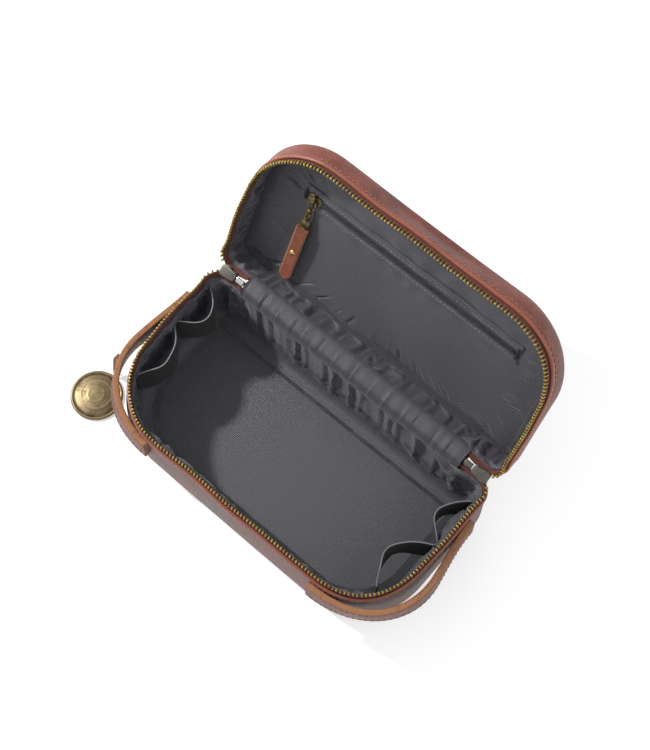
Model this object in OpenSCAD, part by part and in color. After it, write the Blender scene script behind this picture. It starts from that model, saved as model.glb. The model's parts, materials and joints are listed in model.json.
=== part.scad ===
// Leather shaving kit bag: a soft box with a zip round both ends and the front, and a leather hinge
// along the back. Its lid stands open. X runs along the bag, Y towards the hinge, Z up. The origin is
// the middle of the resting face. Lid parts are drawn closed, then turned about the hinge line.

/* [Bag] */
// Length over the end walls
bag_length = 240; // [200:1:280]
// Width from the front wall to the hinge wall
bag_width = 120; // [105:1:150]
// Height of the zip line above the table
base_height = 62; // [55:1:80]
// Depth of the lid above the zip line
lid_depth = 30; // [28:1:40]
// Plan radius of the two front corners
front_corner = 50; // [30:1:52]
// Plan radius of the two hinge corners
back_corner = 12; // [10:1:18]
// Roundness of the edge under the base
base_edge = 16; // [8:1:18]
// Roundness of the edge round the lid's top
lid_edge = 11; // [6:1:12]
// Angle between the open lid and the closed one
open_angle = 116; // [60:1:120]

/* [Materials' thicknesses] */
// Outer leather
leather = 2; // [1.6:0.1:2.2]
// Woven lining
lining = 0.8; // [0.5:0.1:0.9]
// Stiffener board under the lining
board = 1.6; // [1:0.1:1.7]
// Doubled leather of the end straps
strap_leather = 4.2; // [3:0.1:5]

/* [Main zip] */
// Distance from each leather edge to the zip line
zip_margin = 5.6; // [5.4:0.1:8]
// Spacing of the teeth along one tape
tooth_pitch = 2.55; // [2.4:0.05:3]
// Length of one tooth
tooth_length = 3.3; // [2.8:0.1:3.3]
// Width of one tooth along the tape
tooth_width = 1.2; // [1:0.05:1.25]
// Thickness of one tooth through the tape
tooth_depth = 2.6; // [2:0.1:2.8]
// Distance from the middle of the bag to the middle of each slider
slider_x = 108; // [88:1:126]

/* [End straps] */
// Height of each strap
strap_height = 20; // [14:1:22]
// Largest gap between strap and wall
strap_gap = 7; // [5:0.5:12]

/* [Pocket] */
// Half of the length of the pocket zip
pocket_half = 84; // [60:1:88]
// Distance from the hinge line to the pocket zip
pocket_reach = 80; // [76:1:84]
// How far the pocket slider travels
pocket_travel = 152; // [100:1:156]

/* [Medallion] */
// Diameter of the medallion
medal_diameter = 36.6; // [30:0.2:38]
// Height of the medallion's dome
medal_height = 4.4; // [3:0.1:5]

/* [Hidden] */

$fn = 48;
half_l = bag_length / 2;
half_w = bag_width / 2;
corner_steps = 10;          // straight steps in one rounded corner
slab = 0.02;                // thickness of the slices that a rounded shell is blended from
edge_steps = 5;             // slices in a rounded edge
layer_gap = 0.3;            // space between one layer and the next
hinge_out = 1.2;            // hinge line's distance outside the hinge wall
hinge_y = half_w + hinge_out;
hinge_z = base_height;
hinge_half = slider_x - 14; // half of the length of the hinge leather
hinge_gap = 0.7;            // space left either side of the fold line
lid_top = base_height + lid_depth;

// Zip
tape_in = leather + 0.25;   // outer face of the zip tape, measured in from the wall
tape = 0.8;
tape_hidden = 10;           // part of the tape that is sewn between leather and lining
tape_gap = 0.05;            // between the tape's edge and the roots of its teeth
tape_end = slider_x - 5;    // the tape ends this far along the hinge wall
tooth_clear = 0.3;          // from a tooth's tip to the zip line
tooth_root = tooth_length + tooth_clear;
base_shift = 0.25;          // share of the pitch that the base's teeth are moved by
lid_shift = 0.75;           // the same for the lid's, half a pitch on
zip_tail = 4.2;             // end of the zip's path without teeth
slider_clear = 5.7;         // radius kept free about the hinge line for a turning slider
slider_clear_l = 21;        // length kept free

// Lining
lining_in = leather + 1.4;  // outer face of the lining, measured in from the wall
lining_gap = 0.6;           // from the lining to the board below it and to the leather's edge
lining_edge = base_edge - 5; // roundness of the lining's lower edge

// Elastic bands
elastic_low = 26;           // height of their lower edge
elastic_height = 26;
elastic_thick = 1;
elastic_steps = 14;
elastic_wall = half_l - lining_in - lining - 1.2;

// Main sliders, stops and pulls
slider_l = 12.3;
slider_wide = 8.6;
slider_narrow = 7;
slider_thick = 4.6;
slider_wall = 1.1;
shield_shoulder = 1;        // cut corner at a plate's wide end
shield_ease = 0.8;          // cut corner at its narrow end
wedge_in = 2.2;             // wedge's distance from the wide end
wedge_radius = 1.5;
bail_width = 2;
bail_rise = 0.4;            // from the slider's outer face to the middle of the bail's curve
bail_reach = 1.3;           // from the slider's outer face to the middle of the ring's wire
bail_inner = 2.7;
bail_outer = 3.5;
stop_x = slider_x - 10;
stop_size = [5.9, 2.6, 3.9];
ring_radius = 3.6;
ring_wire = 0.7;
left_lean = 28;             // the left pull lies outwards over the corner

// Leather tabs
tab_width = 9;
tab_thick = 3;
tab_gap = 0.4;              // from a ring's wire to its tab
tab_back = 0.9;             // tab's distance behind its ring, away from the wall
pull_tab_length = 38;
pocket_tab_length = 46;
rivet_share = 0.48;         // where the rivet stands along its tab
rivet_hole = 1.5;
rivet_shank = 1.45;
rivet_head = 2.1;
rivet_head_thick = 0.6;

// Pocket panel
panel_z = lid_top - 7.2;    // face of the pocket panel that shows
panel_in = lining_in + lining + 0.3;
binding_width = 6;
binding_thick = 1;
pocket_slot = 8;            // width of the opening that the pocket zip closes
backing_rise = 2.2;         // from the panel to the cloth behind it
backing_in = panel_in + 4;
pocket_y = hinge_y - pocket_reach;
pocket_x = -2 - pocket_travel / 2; // the closed pocket's slider
pocket_tape = [5.2, 0.6];   // width and thickness of each pocket tape
pocket_tape_y = 4.4;        // middle of each tape's distance from the zip's middle
pocket_tape_end = 3;        // how far the tapes run past the zip
coil_size = [3, 1.5];       // width and height of the closed coil
coil_start = 7;             // the coil starts this far past the slider
coil_end = 2;               // and ends this far before the pocket's end
tack_size = [1.8, 8, 0.85]; // bar across an end of the pocket zip
tack_out = 1.6;             // bar's distance past the zip's end
tack_rise = 0.9;

// Pocket slider and pull
pocket_slider_l = 10.5;
pocket_slider_wide = 7.6;
pocket_slider_narrow = 6.4;
pocket_slider_thick = 1.2;
pocket_bail_width = 2.4;
pocket_bail_rise = 0.5;     // from the plate's middle to the middle of the bail's curve
pocket_bail_inner = 2.6;
pocket_bail_outer = 3.5;
bail_drop = 4.6;            // pocket bail's eye below the panel
link_straight = 3.4;        // straight part of the link
link_half = 2.6;            // half of the link's width, to the middle of its wire
link_wire = 0.7;
link_z = 1.4;               // link's distance from the pull's pivot, towards the panel
eye_outer = 1.75;           // eye rolled at the plate's end
eye_inner = 1.05;
eye_width = 2.2;
plate_thick = 1.3;
plate_neck = [4.4, 9.5];
plate_neck_y = 1.3;         // from the eye's middle to the neck
plate_head = [8, 5];
plate_head_y = 9.8;         // from the eye to the plate's wide end
plate_slot = [5.6, 1.9];
plate_slot_y = 11.6;
pocket_tab_y = 23.8;        // from the pivot to the pocket's leather tab
pocket_tab_z = 0.6;

// End straps
strap_top = base_height - zip_margin - 3.4;
strap_back_y = 36;          // where each strap ends on its end wall
strap_near = 0.15;          // gap between strap and wall at its sewn ends
strap_steps = 28;

// Medallion
medal_x = -136.5;
medal_y = -48.5;
medal_lift = 0.1;           // clearance under the disc
medal_rim = 1.4;            // thickness of the disc at its rim
medal_step = 0.6;           // flat part of the rim round the dome
shank_reach = medal_diameter / 2 + 1.6;
shank_out = 0.5;            // middle of the shank's ring past the disc
shank_z = 2;
shank_ring = 1.7;
shank_wire = 0.55;
lace_size = [1.6, 5];       // thickness and width of the lace
lace_end = 1.5;             // what the lace stops short at either end
lace_foot = [-137.5, medal_y + shank_reach + 1.2, 4.2];
lace_head = [-130.6, lace_foot[1], strap_top - strap_height / 2];

// ---- outlines ----

// Points of one rounded corner about (cx, cy), from angle a0 through a quarter turn.
function corner(cx, cy, r, a0) = [
    for (i = [0 : corner_steps]) let (a = a0 + 90 * i / corner_steps) [cx + r * cos(a), cy + r * sin(a)]
];

// The bag's plan outline, moved in by inset.
function outline(inset) = let (
    f = front_corner - inset,
    b = max(back_corner - inset, 1),
    x = half_l - inset,
    y = half_w - inset
) concat(
    corner(x - b, y - b, b, 0), corner(b - x, y - b, b, 90),
    corner(f - x, f - y, f, 180), corner(x - f, f - y, f, 270)
);

module slice(inset, z) {
    translate([0, 0, z]) linear_extrude(slab) polygon(outline(inset));
}

// A wall that follows the plan outline between two insets and two heights.
module band(inset, thick, z0, z1) {
    translate([0, 0, z0]) linear_extrude(z1 - z0) difference() {
        polygon(outline(inset));
        polygon(outline(inset + thick));
    }
}

// A tub standing on z0 with a rounded lower edge of radius r, up to z1.
module tub(inset, r, z0, z1) {
    hull() {
        for (i = [0 : edge_steps]) let (a = 90 * i / edge_steps)
            slice(inset + r * (1 - sin(a)), z0 + r * (1 - cos(a)));
        slice(inset, z1 - slab);
    }
}

// Length of the zip's path round one front quarter and where a given length along it lands.
arc_f = (front_corner - tape_in - tape / 2) * PI / 2;
path_in = tape_in + tape / 2;
path_x = half_l - path_in;
path_y = half_w - path_in;
path_f = front_corner - path_in;
path_b = back_corner - path_in;
arc_b = path_b * PI / 2;
run_front = path_x - path_f;                       // middle of the front to its corner
run_end = 2 * path_y - path_f - path_b;            // along an end wall
path_half = run_front + arc_f + run_end + arc_b;   // middle of the front to the hinge side

// [x, y, heading] of the point s along the zip's right half, measured from the middle of the front.
function zip_point(s) =
    s < run_front ? [s, -path_y, 0] :
    s < run_front + arc_f ? let (a = (s - run_front) / path_f * 180 / PI)
        [run_front + path_f * sin(a), -path_y + path_f * (1 - cos(a)), a] :
    s < run_front + arc_f + run_end ? [path_x, -path_y + path_f + s - run_front - arc_f, 90] :
    let (a = (s - run_front - arc_f - run_end) / path_b * 180 / PI)
        [path_x - path_b * (1 - cos(a)), path_y - path_b + path_b * sin(a), 90 + a];

tooth_count = floor((path_half - zip_tail) / tooth_pitch);

// ---- placing ----

// Turns what is drawn closed to the open lid's place.
module on_lid(turn = 1) {
    translate([0, hinge_y, hinge_z]) rotate([-open_angle * turn, 0, 0])
        translate([0, -hinge_y, -hinge_z]) children();
}

// Mirrors left and right: side is -1 for the left.
module side_of(side) {
    if (side < 0) mirror([1, 0, 0]) children();
    else children();
}

// Space swept by a slider about the hinge line.
module slider_space() {
    for (side = [-1, 1]) translate([side * (slider_x - 2), hinge_y, hinge_z]) rotate([0, 90, 0])
        cylinder(r = slider_clear, h = slider_clear_l, center = true);
}

// ---- base ----

module base_leather_shell() {
    color("#6b3a26") difference() {
        tub(0, base_edge, 0, base_height - zip_margin);
        tub(leather, base_edge - leather, leather, base_height);
    }
}

module base_board() {
    color("#8d8577") translate([0, 0, leather + layer_gap]) linear_extrude(board)
        polygon(outline(base_edge));
}

module base_lining() {
    lining_z = leather + board + lining_gap;
    color("#3b3a40") difference() {
        tub(lining_in, lining_edge, lining_z, base_height - zip_margin - lining_gap);
        tub(lining_in + lining, lining_edge - lining, lining_z + lining, base_height);
    }
}

// Cuts the hinge side out of a tape or a row of teeth.
module hinge_cut(z0, z1) {
    translate([-tape_end, 0, z0]) cube([2 * tape_end, half_w, z1 - z0]);
}

module base_zip_tape() {
    z1 = base_height - tooth_root - tape_gap;
    z0 = base_height - zip_margin - tape_hidden;
    color("#a8554a") difference() {
        band(tape_in, tape, z0, z1);
        hinge_cut(z0 - 1, z1 + 1);
        slider_space();
    }
}

// One row of teeth with their roots at height z, moved along by a share of the pitch.
module tooth_row(z, shift) {
    for (side = [-1, 1]) side_of(side)
        for (i = [0 : tooth_count - 1]) let (
            s = (i + (side > 0 ? shift : 1 - shift)) * tooth_pitch,
            p = zip_point(s)
        ) translate([p[0], p[1], z]) rotate([0, 0, p[2]])
            translate([-tooth_width / 2, -tooth_depth / 2, 0]) cube([tooth_width, tooth_depth, tooth_length]);
}

module base_zip_teeth() {
    color("#b09a55") tooth_row(base_height - tooth_root, base_shift);
}

module hinge_leather_strip(z0, z1) {
    translate([-hinge_half, half_w - leather, z0]) cube([2 * hinge_half, leather, z1 - z0]);
}

module base_hinge_leather() {
    color("#5b2f20") hinge_leather_strip(base_height - zip_margin, base_height - hinge_gap);
}

// An elastic band standing on edge, tacked at a and b and bulging by bulge towards the bag's middle.
module elastic_band(a, b, bulge) {
    run = b - a;
    n = [-run[1], run[0]] / norm(run);
    arc = [for (i = [0 : elastic_steps]) let (t = i / elastic_steps) a + run * t + n * bulge * sin(180 * t)];
    color("#17171a") translate([0, 0, elastic_low]) linear_extrude(elastic_height)
        polygon(concat(arc, [for (i = [elastic_steps : -1 : 0]) arc[i] + n * elastic_thick]));
}

module elastic_left_back() {
    elastic_band(a = [-elastic_wall, 48], b = [-elastic_wall, 15], bulge = 14);
}
module elastic_left_front() {
    elastic_band(a = [-elastic_wall, 13], b = [5 - elastic_wall, -32], bulge = 12);
}
module elastic_right_front() {
    elastic_band(a = [elastic_wall - 10, -36], b = [elastic_wall, 8], bulge = 16);
}
module elastic_right_back() {
    elastic_band(a = [elastic_wall, 11], b = [elastic_wall, 46], bulge = 13);
}

// Points along a strap's run: [x, y, normal angle], from its front end to its hinge end.
strap_arc = front_corner * PI / 2;
strap_run = strap_arc + strap_back_y + half_w - front_corner;
function strap_point(t, off) = let (s = t * strap_run)
    s < strap_arc ? let (a = -90 + s / front_corner * 180 / PI)
        [half_l - front_corner + (front_corner + off) * cos(a),
         front_corner - half_w + (front_corner + off) * sin(a)] :
    [half_l + off, front_corner - half_w + s - strap_arc];

// A leather strap sewn to the wall at both ends, standing off it in between.
module end_strap(side) {
    bow = [for (i = [0 : strap_steps]) strap_near + strap_gap * pow(sin(180 * i / strap_steps), 2)];
    inner = [for (i = [0 : strap_steps]) strap_point(i / strap_steps, bow[i])];
    outer = [for (i = [strap_steps : -1 : 0]) strap_point(i / strap_steps, bow[i] + strap_leather)];
    color("#7a4129") side_of(side) translate([0, 0, strap_top - strap_height])
        linear_extrude(strap_height) polygon(concat(inner, outer));
}

module end_strap_left() { end_strap(-1); }
module end_strap_right() { end_strap(1); }

// ---- lid ----

// A cap hanging from z1 with a rounded upper edge of radius r, down to z0.
module cap(inset, r, z0, z1) {
    hull() {
        for (i = [0 : edge_steps]) let (a = 90 * i / edge_steps)
            slice(inset + r * (1 - sin(a)), z1 - r * (1 - cos(a)) - slab);
        slice(inset, z0);
    }
}

module lid_leather_shell() {
    color("#9a5238") on_lid() difference() {
        cap(0, lid_edge, base_height + zip_margin, lid_top);
        cap(leather, lid_edge - leather, base_height, lid_top - leather);
    }
}

module lid_board() {
    color("#8d8577") on_lid() translate([0, 0, lid_top - leather - layer_gap - board])
        linear_extrude(board)
        polygon(outline(lid_edge));
}

module lid_lining_wall() {
    color("#3b3a40") on_lid()
        band(lining_in, lining, base_height + zip_margin + lining_gap, panel_z + lining_gap);
}

module lid_pocket_panel() {
    color("#403f46") on_lid() translate([0, 0, panel_z]) linear_extrude(lining) difference() {
        polygon(outline(panel_in));
        translate([0, pocket_y]) square([2 * pocket_half, pocket_slot], center = true);
    }
}

module lid_pocket_backing() {
    color("#3b3a40") on_lid() translate([0, 0, panel_z + backing_rise]) linear_extrude(lining)
        polygon(outline(backing_in));
}

module lid_panel_binding() {
    color("#1c1c1f") on_lid() band(panel_in, binding_width, panel_z - binding_thick, panel_z);
}

module lid_zip_tape() {
    z0 = base_height + tooth_root + tape_gap;
    z1 = base_height + zip_margin + tape_hidden;
    color("#a8554a") on_lid() difference() {
        band(tape_in, tape, z0, z1);
        hinge_cut(z0 - 1, z1 + 1);
        slider_space();
    }
}

module lid_zip_teeth() {
    color("#b09a55") on_lid() tooth_row(base_height + tooth_clear, lid_shift);
}

module lid_hinge_leather() {
    color("#5b2f20") on_lid() hinge_leather_strip(base_height + hinge_gap, base_height + zip_margin);
}

module pocket_zip_tape() {
    color("#15161a") on_lid() for (side = [-1, 1])
        translate([-pocket_half - pocket_tape_end, pocket_y + side * pocket_tape_y - pocket_tape[0] / 2,
                   panel_z + lining + 0.1])
            cube([2 * (pocket_half + pocket_tape_end), pocket_tape[0], pocket_tape[1]]);
}

module pocket_zip_coil() {
    color("#26272b") on_lid() translate([pocket_x + coil_start, pocket_y - coil_size[0] / 2, panel_z + 0.1])
        cube([pocket_half - pocket_x - coil_start - coil_end, coil_size[0], coil_size[1]]);
}

module pocket_zip_stops() {
    color("#101114") on_lid() for (side = [-1, 1])
        translate([side * (pocket_half + tack_out) - tack_size[0] / 2, pocket_y - tack_size[1] / 2,
                   panel_z - tack_rise]) cube(tack_size);
}

// ---- pocket slider and pull ----

// Places what is drawn about the pocket bail's eye: +Y points to the hinge, -Z away from the panel.
module on_pocket() {
    on_lid() translate([pocket_x, pocket_y, panel_z - bail_drop]) children();
}

// A plate with a wide end at -X and a narrow end at +X.
module shield(l, wide, narrow, h) {
    linear_extrude(h, center = true) polygon([
        [-l / 2, shield_shoulder - wide / 2], [shield_shoulder - l / 2, -wide / 2],
        [0, -wide / 2], [l / 2 - shield_ease, -narrow / 2],
        [l / 2, shield_ease - narrow / 2], [l / 2, narrow / 2 - shield_ease],
        [l / 2 - shield_ease, narrow / 2], [0, wide / 2],
        [shield_shoulder - l / 2, wide / 2], [-l / 2, wide / 2 - shield_shoulder]
    ]);
}

// The upper half of a ring of that width, square to X, with its feet that far below its middle.
module bail(inner, outer, width, foot) {
    rotate([90, 0, 90]) linear_extrude(width, center = true) difference() {
        circle(r = outer);
        circle(r = inner);
        translate([-outer - 1, -outer - foot]) square([2 * outer + 2, outer]);
    }
}

module pocket_slider() {
    color("#7d7250") on_pocket() translate([0, 0, bail_drop - pocket_slider_thick]) union() {
        shield(pocket_slider_l, pocket_slider_wide, pocket_slider_narrow, pocket_slider_thick);
        translate([0, 0, -pocket_bail_rise]) mirror([0, 0, 1])
            bail(pocket_bail_inner, pocket_bail_outer, pocket_bail_width, pocket_bail_rise);
    }
}

// A flat loop of wire between two eyes a distance l apart along +Y.
module wire_link(l, r, wire) {
    for (side = [-1, 1]) translate([side * r, l / 2, 0]) rotate([90, 0, 0])
        cylinder(r = wire, h = l, center = true);
    translate([0, l, 0]) rotate_extrude(angle = 180) translate([r, 0]) circle(r = wire);
    rotate([0, 0, 180]) rotate_extrude(angle = 180) translate([r, 0]) circle(r = wire);
}

module pocket_pull_link() {
    color("#8a7a4c") on_pocket() translate([0, link_half, link_z]) wire_link(link_straight, link_half, link_wire);
}

// A plate with an eye rolled round the link's far end.
module pocket_pull_plate() {
    color("#8a7a4c") on_pocket() translate([0, link_straight + 2 * link_half, link_z]) {
        rotate([0, 90, 0]) linear_extrude(eye_width, center = true) difference() {
            circle(r = eye_outer);
            circle(r = eye_inner);
        }
        linear_extrude(plate_thick, center = true) difference() {
            union() {
                translate([-plate_neck[0] / 2, plate_neck_y]) square(plate_neck);
                translate([-plate_head[0] / 2, plate_head_y]) square(plate_head);
            }
            translate([-plate_slot[0] / 2, plate_slot_y]) square(plate_slot);
        }
    }
}

// A leather tab with a rounded far end, length l along +Y.
module leather_tab(l) {
    linear_extrude(tab_thick, center = true) difference() {
        union() {
            translate([-tab_width / 2, 0]) square([tab_width, l - tab_width / 2]);
            translate([0, l - tab_width / 2]) circle(d = tab_width);
        }
        translate([0, l * rivet_share]) circle(r = rivet_hole);
    }
}

module pocket_tab() {
    color("#a5583a") on_pocket() translate([0, pocket_tab_y, pocket_tab_z]) leather_tab(pocket_tab_length);
}

module tab_rivet() {
    cylinder(r = rivet_shank, h = tab_thick, center = true);
    for (side = [-1, 1]) translate([0, 0, side * (tab_thick + rivet_head_thick) / 2])
        cylinder(r = rivet_head, h = rivet_head_thick, center = true);
}

module pocket_tab_rivet() {
    color("#b89a58") on_pocket()
        translate([0, pocket_tab_y + pocket_tab_length * rivet_share, pocket_tab_z]) tab_rivet();
}

// ---- main sliders and pulls ----

// Draws about the middle of a parked slider, with half of the lid's turn. +Y is its outer face.
module on_slider(side) {
    side_of(side) on_lid(0.5) translate([slider_x, hinge_y, hinge_z]) children();
}

module main_slider(side) {
    color("#6f6f72") on_slider(side) union() {
        for (face = [-1, 1]) translate([0, face * (slider_thick - slider_wall) / 2, 0])
            rotate([90, 0, 0]) mirror([1, 0, 0]) shield(slider_l, slider_wide, slider_narrow, slider_wall);
        translate([slider_l / 2 - wedge_in, 0, 0]) rotate([90, 0, 0])
            cylinder(r = wedge_radius, h = slider_thick - slider_wall, center = true);
        translate([0, slider_thick / 2 + bail_rise, 0]) rotate([-90, 0, 0])
            bail(bail_inner, bail_outer, bail_width, 2 * bail_rise);
    }
}

module left_slider() { main_slider(-1); }
module right_slider() { main_slider(1); }

module zip_stop(side) {
    color("#c8c8c6") on_slider(side) translate([stop_x - slider_x, 0, 0])
        cube(stop_size, center = true);
}

module left_zip_stop() { zip_stop(-1); }
module right_zip_stop() { zip_stop(1); }

// Where the bail's eye stands when the slider has made half of the lid's turn.
eye = [slider_x, hinge_y + (slider_thick / 2 + bail_reach) * cos(open_angle / 2),
       hinge_z - (slider_thick / 2 + bail_reach) * sin(open_angle / 2)];

// Draws about the bail's eye with -Z down and +Y away from the hinge wall.
module on_pull(side) {
    side_of(side) translate(eye) rotate([0, side < 0 ? -left_lean : 0, 0]) children();
}

module pull_ring(side) {
    color("#9a9a98") on_pull(side) translate([0, 0, -ring_radius]) rotate([90, 0, 0])
        rotate_extrude() translate([ring_radius, 0]) circle(r = ring_wire);
}

module left_pull_ring() { pull_ring(-1); }
module right_pull_ring() { pull_ring(1); }

// Top of a pull's leather tab, just under its ring.
tab_drop = 2 * ring_radius + ring_wire + tab_gap;

module pull_tab(side) {
    color("#b0764c") on_pull(side) translate([0, tab_back, -tab_drop]) rotate([-90, 0, 0])
        leather_tab(pull_tab_length);
}

module left_pull_tab() { pull_tab(-1); }
module right_pull_tab() { pull_tab(1); }

module pull_rivet(side) {
    color("#b89a58") on_pull(side) translate([0, tab_back, -tab_drop - pull_tab_length * rivet_share])
        rotate([-90, 0, 0]) tab_rivet();
}

module left_pull_rivet() { pull_rivet(-1); }
module right_pull_rivet() { pull_rivet(1); }

// ---- medallion ----

// A flat lace from the left strap down to the medallion's shank.
module medallion_lace() {
    run = lace_head - lace_foot;
    lean = atan2(run[0], run[2]);
    color("#8a4a30") translate(lace_foot) rotate([0, lean, 0])
        translate([-lace_size[0] / 2, -lace_size[1] / 2, lace_end])
            cube([lace_size[0], lace_size[1], norm(run) - 2 * lace_end]);
}

module medallion_disc() {
    rise = medal_height - medal_rim;
    cap_r = (pow(medal_diameter / 2, 2) + pow(rise, 2)) / (2 * rise);
    color("#a08a55") translate([medal_x, medal_y, medal_lift]) union() {
        cylinder(d = medal_diameter, h = medal_rim);
        intersection() {
            translate([0, 0, medal_height - cap_r]) sphere(r = cap_r, $fn = 96);
            translate([0, 0, medal_rim - 0.1]) cylinder(d = medal_diameter - 2 * medal_step, h = medal_height);
        }
    }
}

module medallion_shank() {
    color("#8f7b4a") translate([medal_x, medal_y + shank_reach + shank_out, shank_z]) rotate([0, 90, 0])
        rotate_extrude() translate([shank_ring, 0]) circle(r = shank_wire);
}

base_leather_shell();
base_board();
base_lining();
base_zip_tape();
base_zip_teeth();
base_hinge_leather();
elastic_left_back();
elastic_left_front();
elastic_right_front();
elastic_right_back();
end_strap_left();
end_strap_right();
lid_leather_shell();
lid_board();
lid_lining_wall();
lid_pocket_panel();
lid_pocket_backing();
lid_panel_binding();
lid_zip_tape();
lid_zip_teeth();
lid_hinge_leather();
pocket_zip_tape();
pocket_zip_coil();
pocket_zip_stops();
pocket_slider();
pocket_pull_link();
pocket_pull_plate();
pocket_tab();
pocket_tab_rivet();
left_slider();
left_zip_stop();
left_pull_ring();
left_pull_tab();
left_pull_rivet();
right_slider();
right_zip_stop();
right_pull_ring();
right_pull_tab();
right_pull_rivet();
medallion_lace();
medallion_disc();
medallion_shank();
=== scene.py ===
"""Leather shaving kit bag: the pieces that are seen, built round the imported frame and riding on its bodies."""

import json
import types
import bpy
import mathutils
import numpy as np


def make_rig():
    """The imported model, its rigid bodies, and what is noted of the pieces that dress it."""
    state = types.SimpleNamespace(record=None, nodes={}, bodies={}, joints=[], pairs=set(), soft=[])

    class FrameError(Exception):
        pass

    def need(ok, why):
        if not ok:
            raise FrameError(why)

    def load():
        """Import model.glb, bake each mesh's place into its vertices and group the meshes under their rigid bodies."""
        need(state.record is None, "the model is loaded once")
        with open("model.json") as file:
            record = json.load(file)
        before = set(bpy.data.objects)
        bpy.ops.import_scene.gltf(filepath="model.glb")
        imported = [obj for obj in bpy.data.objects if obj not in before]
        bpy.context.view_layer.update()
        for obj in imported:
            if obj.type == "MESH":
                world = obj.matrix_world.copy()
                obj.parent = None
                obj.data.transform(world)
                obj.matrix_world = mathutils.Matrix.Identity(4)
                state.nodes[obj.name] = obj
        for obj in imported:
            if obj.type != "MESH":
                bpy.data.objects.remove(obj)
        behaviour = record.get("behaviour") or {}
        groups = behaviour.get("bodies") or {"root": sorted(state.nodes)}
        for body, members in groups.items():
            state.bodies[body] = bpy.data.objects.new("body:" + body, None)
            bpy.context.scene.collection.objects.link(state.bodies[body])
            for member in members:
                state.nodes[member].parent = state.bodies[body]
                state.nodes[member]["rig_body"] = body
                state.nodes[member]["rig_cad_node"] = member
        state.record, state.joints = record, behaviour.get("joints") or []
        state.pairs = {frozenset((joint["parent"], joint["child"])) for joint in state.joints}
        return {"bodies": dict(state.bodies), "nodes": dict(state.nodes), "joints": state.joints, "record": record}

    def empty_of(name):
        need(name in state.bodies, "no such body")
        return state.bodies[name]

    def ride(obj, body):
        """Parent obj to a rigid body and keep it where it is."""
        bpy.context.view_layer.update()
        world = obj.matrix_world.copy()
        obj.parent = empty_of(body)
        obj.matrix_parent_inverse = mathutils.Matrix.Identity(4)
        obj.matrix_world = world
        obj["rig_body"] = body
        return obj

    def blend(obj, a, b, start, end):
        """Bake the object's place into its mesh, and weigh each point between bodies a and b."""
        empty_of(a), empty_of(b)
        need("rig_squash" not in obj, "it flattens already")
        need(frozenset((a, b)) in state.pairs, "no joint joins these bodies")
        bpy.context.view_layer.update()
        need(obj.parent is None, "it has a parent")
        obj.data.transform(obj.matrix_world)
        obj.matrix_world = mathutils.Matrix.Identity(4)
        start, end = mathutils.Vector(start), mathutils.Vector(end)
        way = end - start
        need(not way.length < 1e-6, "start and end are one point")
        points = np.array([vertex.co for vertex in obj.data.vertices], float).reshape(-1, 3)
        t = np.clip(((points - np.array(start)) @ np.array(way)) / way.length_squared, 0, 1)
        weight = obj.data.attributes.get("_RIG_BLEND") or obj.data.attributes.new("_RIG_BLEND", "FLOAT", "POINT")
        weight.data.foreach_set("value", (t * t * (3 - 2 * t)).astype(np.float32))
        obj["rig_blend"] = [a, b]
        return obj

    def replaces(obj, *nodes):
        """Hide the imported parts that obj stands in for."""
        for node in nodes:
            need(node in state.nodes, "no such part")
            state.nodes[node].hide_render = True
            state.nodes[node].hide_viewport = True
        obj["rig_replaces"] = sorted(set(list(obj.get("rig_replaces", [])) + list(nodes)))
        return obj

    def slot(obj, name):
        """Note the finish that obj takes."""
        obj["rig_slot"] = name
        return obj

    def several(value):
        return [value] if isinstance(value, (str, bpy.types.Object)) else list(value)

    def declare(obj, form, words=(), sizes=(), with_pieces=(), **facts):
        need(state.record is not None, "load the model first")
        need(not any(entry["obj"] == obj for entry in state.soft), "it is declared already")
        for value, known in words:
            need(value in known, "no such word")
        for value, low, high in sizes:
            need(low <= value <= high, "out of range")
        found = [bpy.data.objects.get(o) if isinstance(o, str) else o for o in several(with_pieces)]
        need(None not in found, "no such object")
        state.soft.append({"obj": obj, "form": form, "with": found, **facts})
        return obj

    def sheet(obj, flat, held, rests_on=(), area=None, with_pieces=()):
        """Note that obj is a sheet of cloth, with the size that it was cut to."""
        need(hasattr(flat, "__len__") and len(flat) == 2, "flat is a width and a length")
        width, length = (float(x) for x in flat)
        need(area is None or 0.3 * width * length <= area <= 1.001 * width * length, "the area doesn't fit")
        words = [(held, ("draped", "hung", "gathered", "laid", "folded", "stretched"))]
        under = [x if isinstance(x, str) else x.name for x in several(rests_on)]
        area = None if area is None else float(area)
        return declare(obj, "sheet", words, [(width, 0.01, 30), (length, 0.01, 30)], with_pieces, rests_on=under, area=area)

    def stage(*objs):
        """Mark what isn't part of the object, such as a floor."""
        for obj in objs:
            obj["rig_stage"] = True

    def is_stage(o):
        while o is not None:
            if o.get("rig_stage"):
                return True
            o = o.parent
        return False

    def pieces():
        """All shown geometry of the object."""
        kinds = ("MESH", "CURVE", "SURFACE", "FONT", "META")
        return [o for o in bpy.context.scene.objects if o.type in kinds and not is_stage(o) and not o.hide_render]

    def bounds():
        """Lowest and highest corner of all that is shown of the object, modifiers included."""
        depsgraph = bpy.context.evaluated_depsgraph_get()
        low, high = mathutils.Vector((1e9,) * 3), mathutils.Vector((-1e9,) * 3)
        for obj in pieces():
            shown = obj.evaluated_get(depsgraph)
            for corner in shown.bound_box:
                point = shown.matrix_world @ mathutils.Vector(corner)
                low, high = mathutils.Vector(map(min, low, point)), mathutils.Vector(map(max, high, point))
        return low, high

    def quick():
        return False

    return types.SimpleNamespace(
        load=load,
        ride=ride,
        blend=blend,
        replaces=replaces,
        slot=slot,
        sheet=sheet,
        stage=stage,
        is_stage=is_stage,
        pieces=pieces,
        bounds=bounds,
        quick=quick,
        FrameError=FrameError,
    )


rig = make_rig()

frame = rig.load()
CAD_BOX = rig.bounds()

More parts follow.
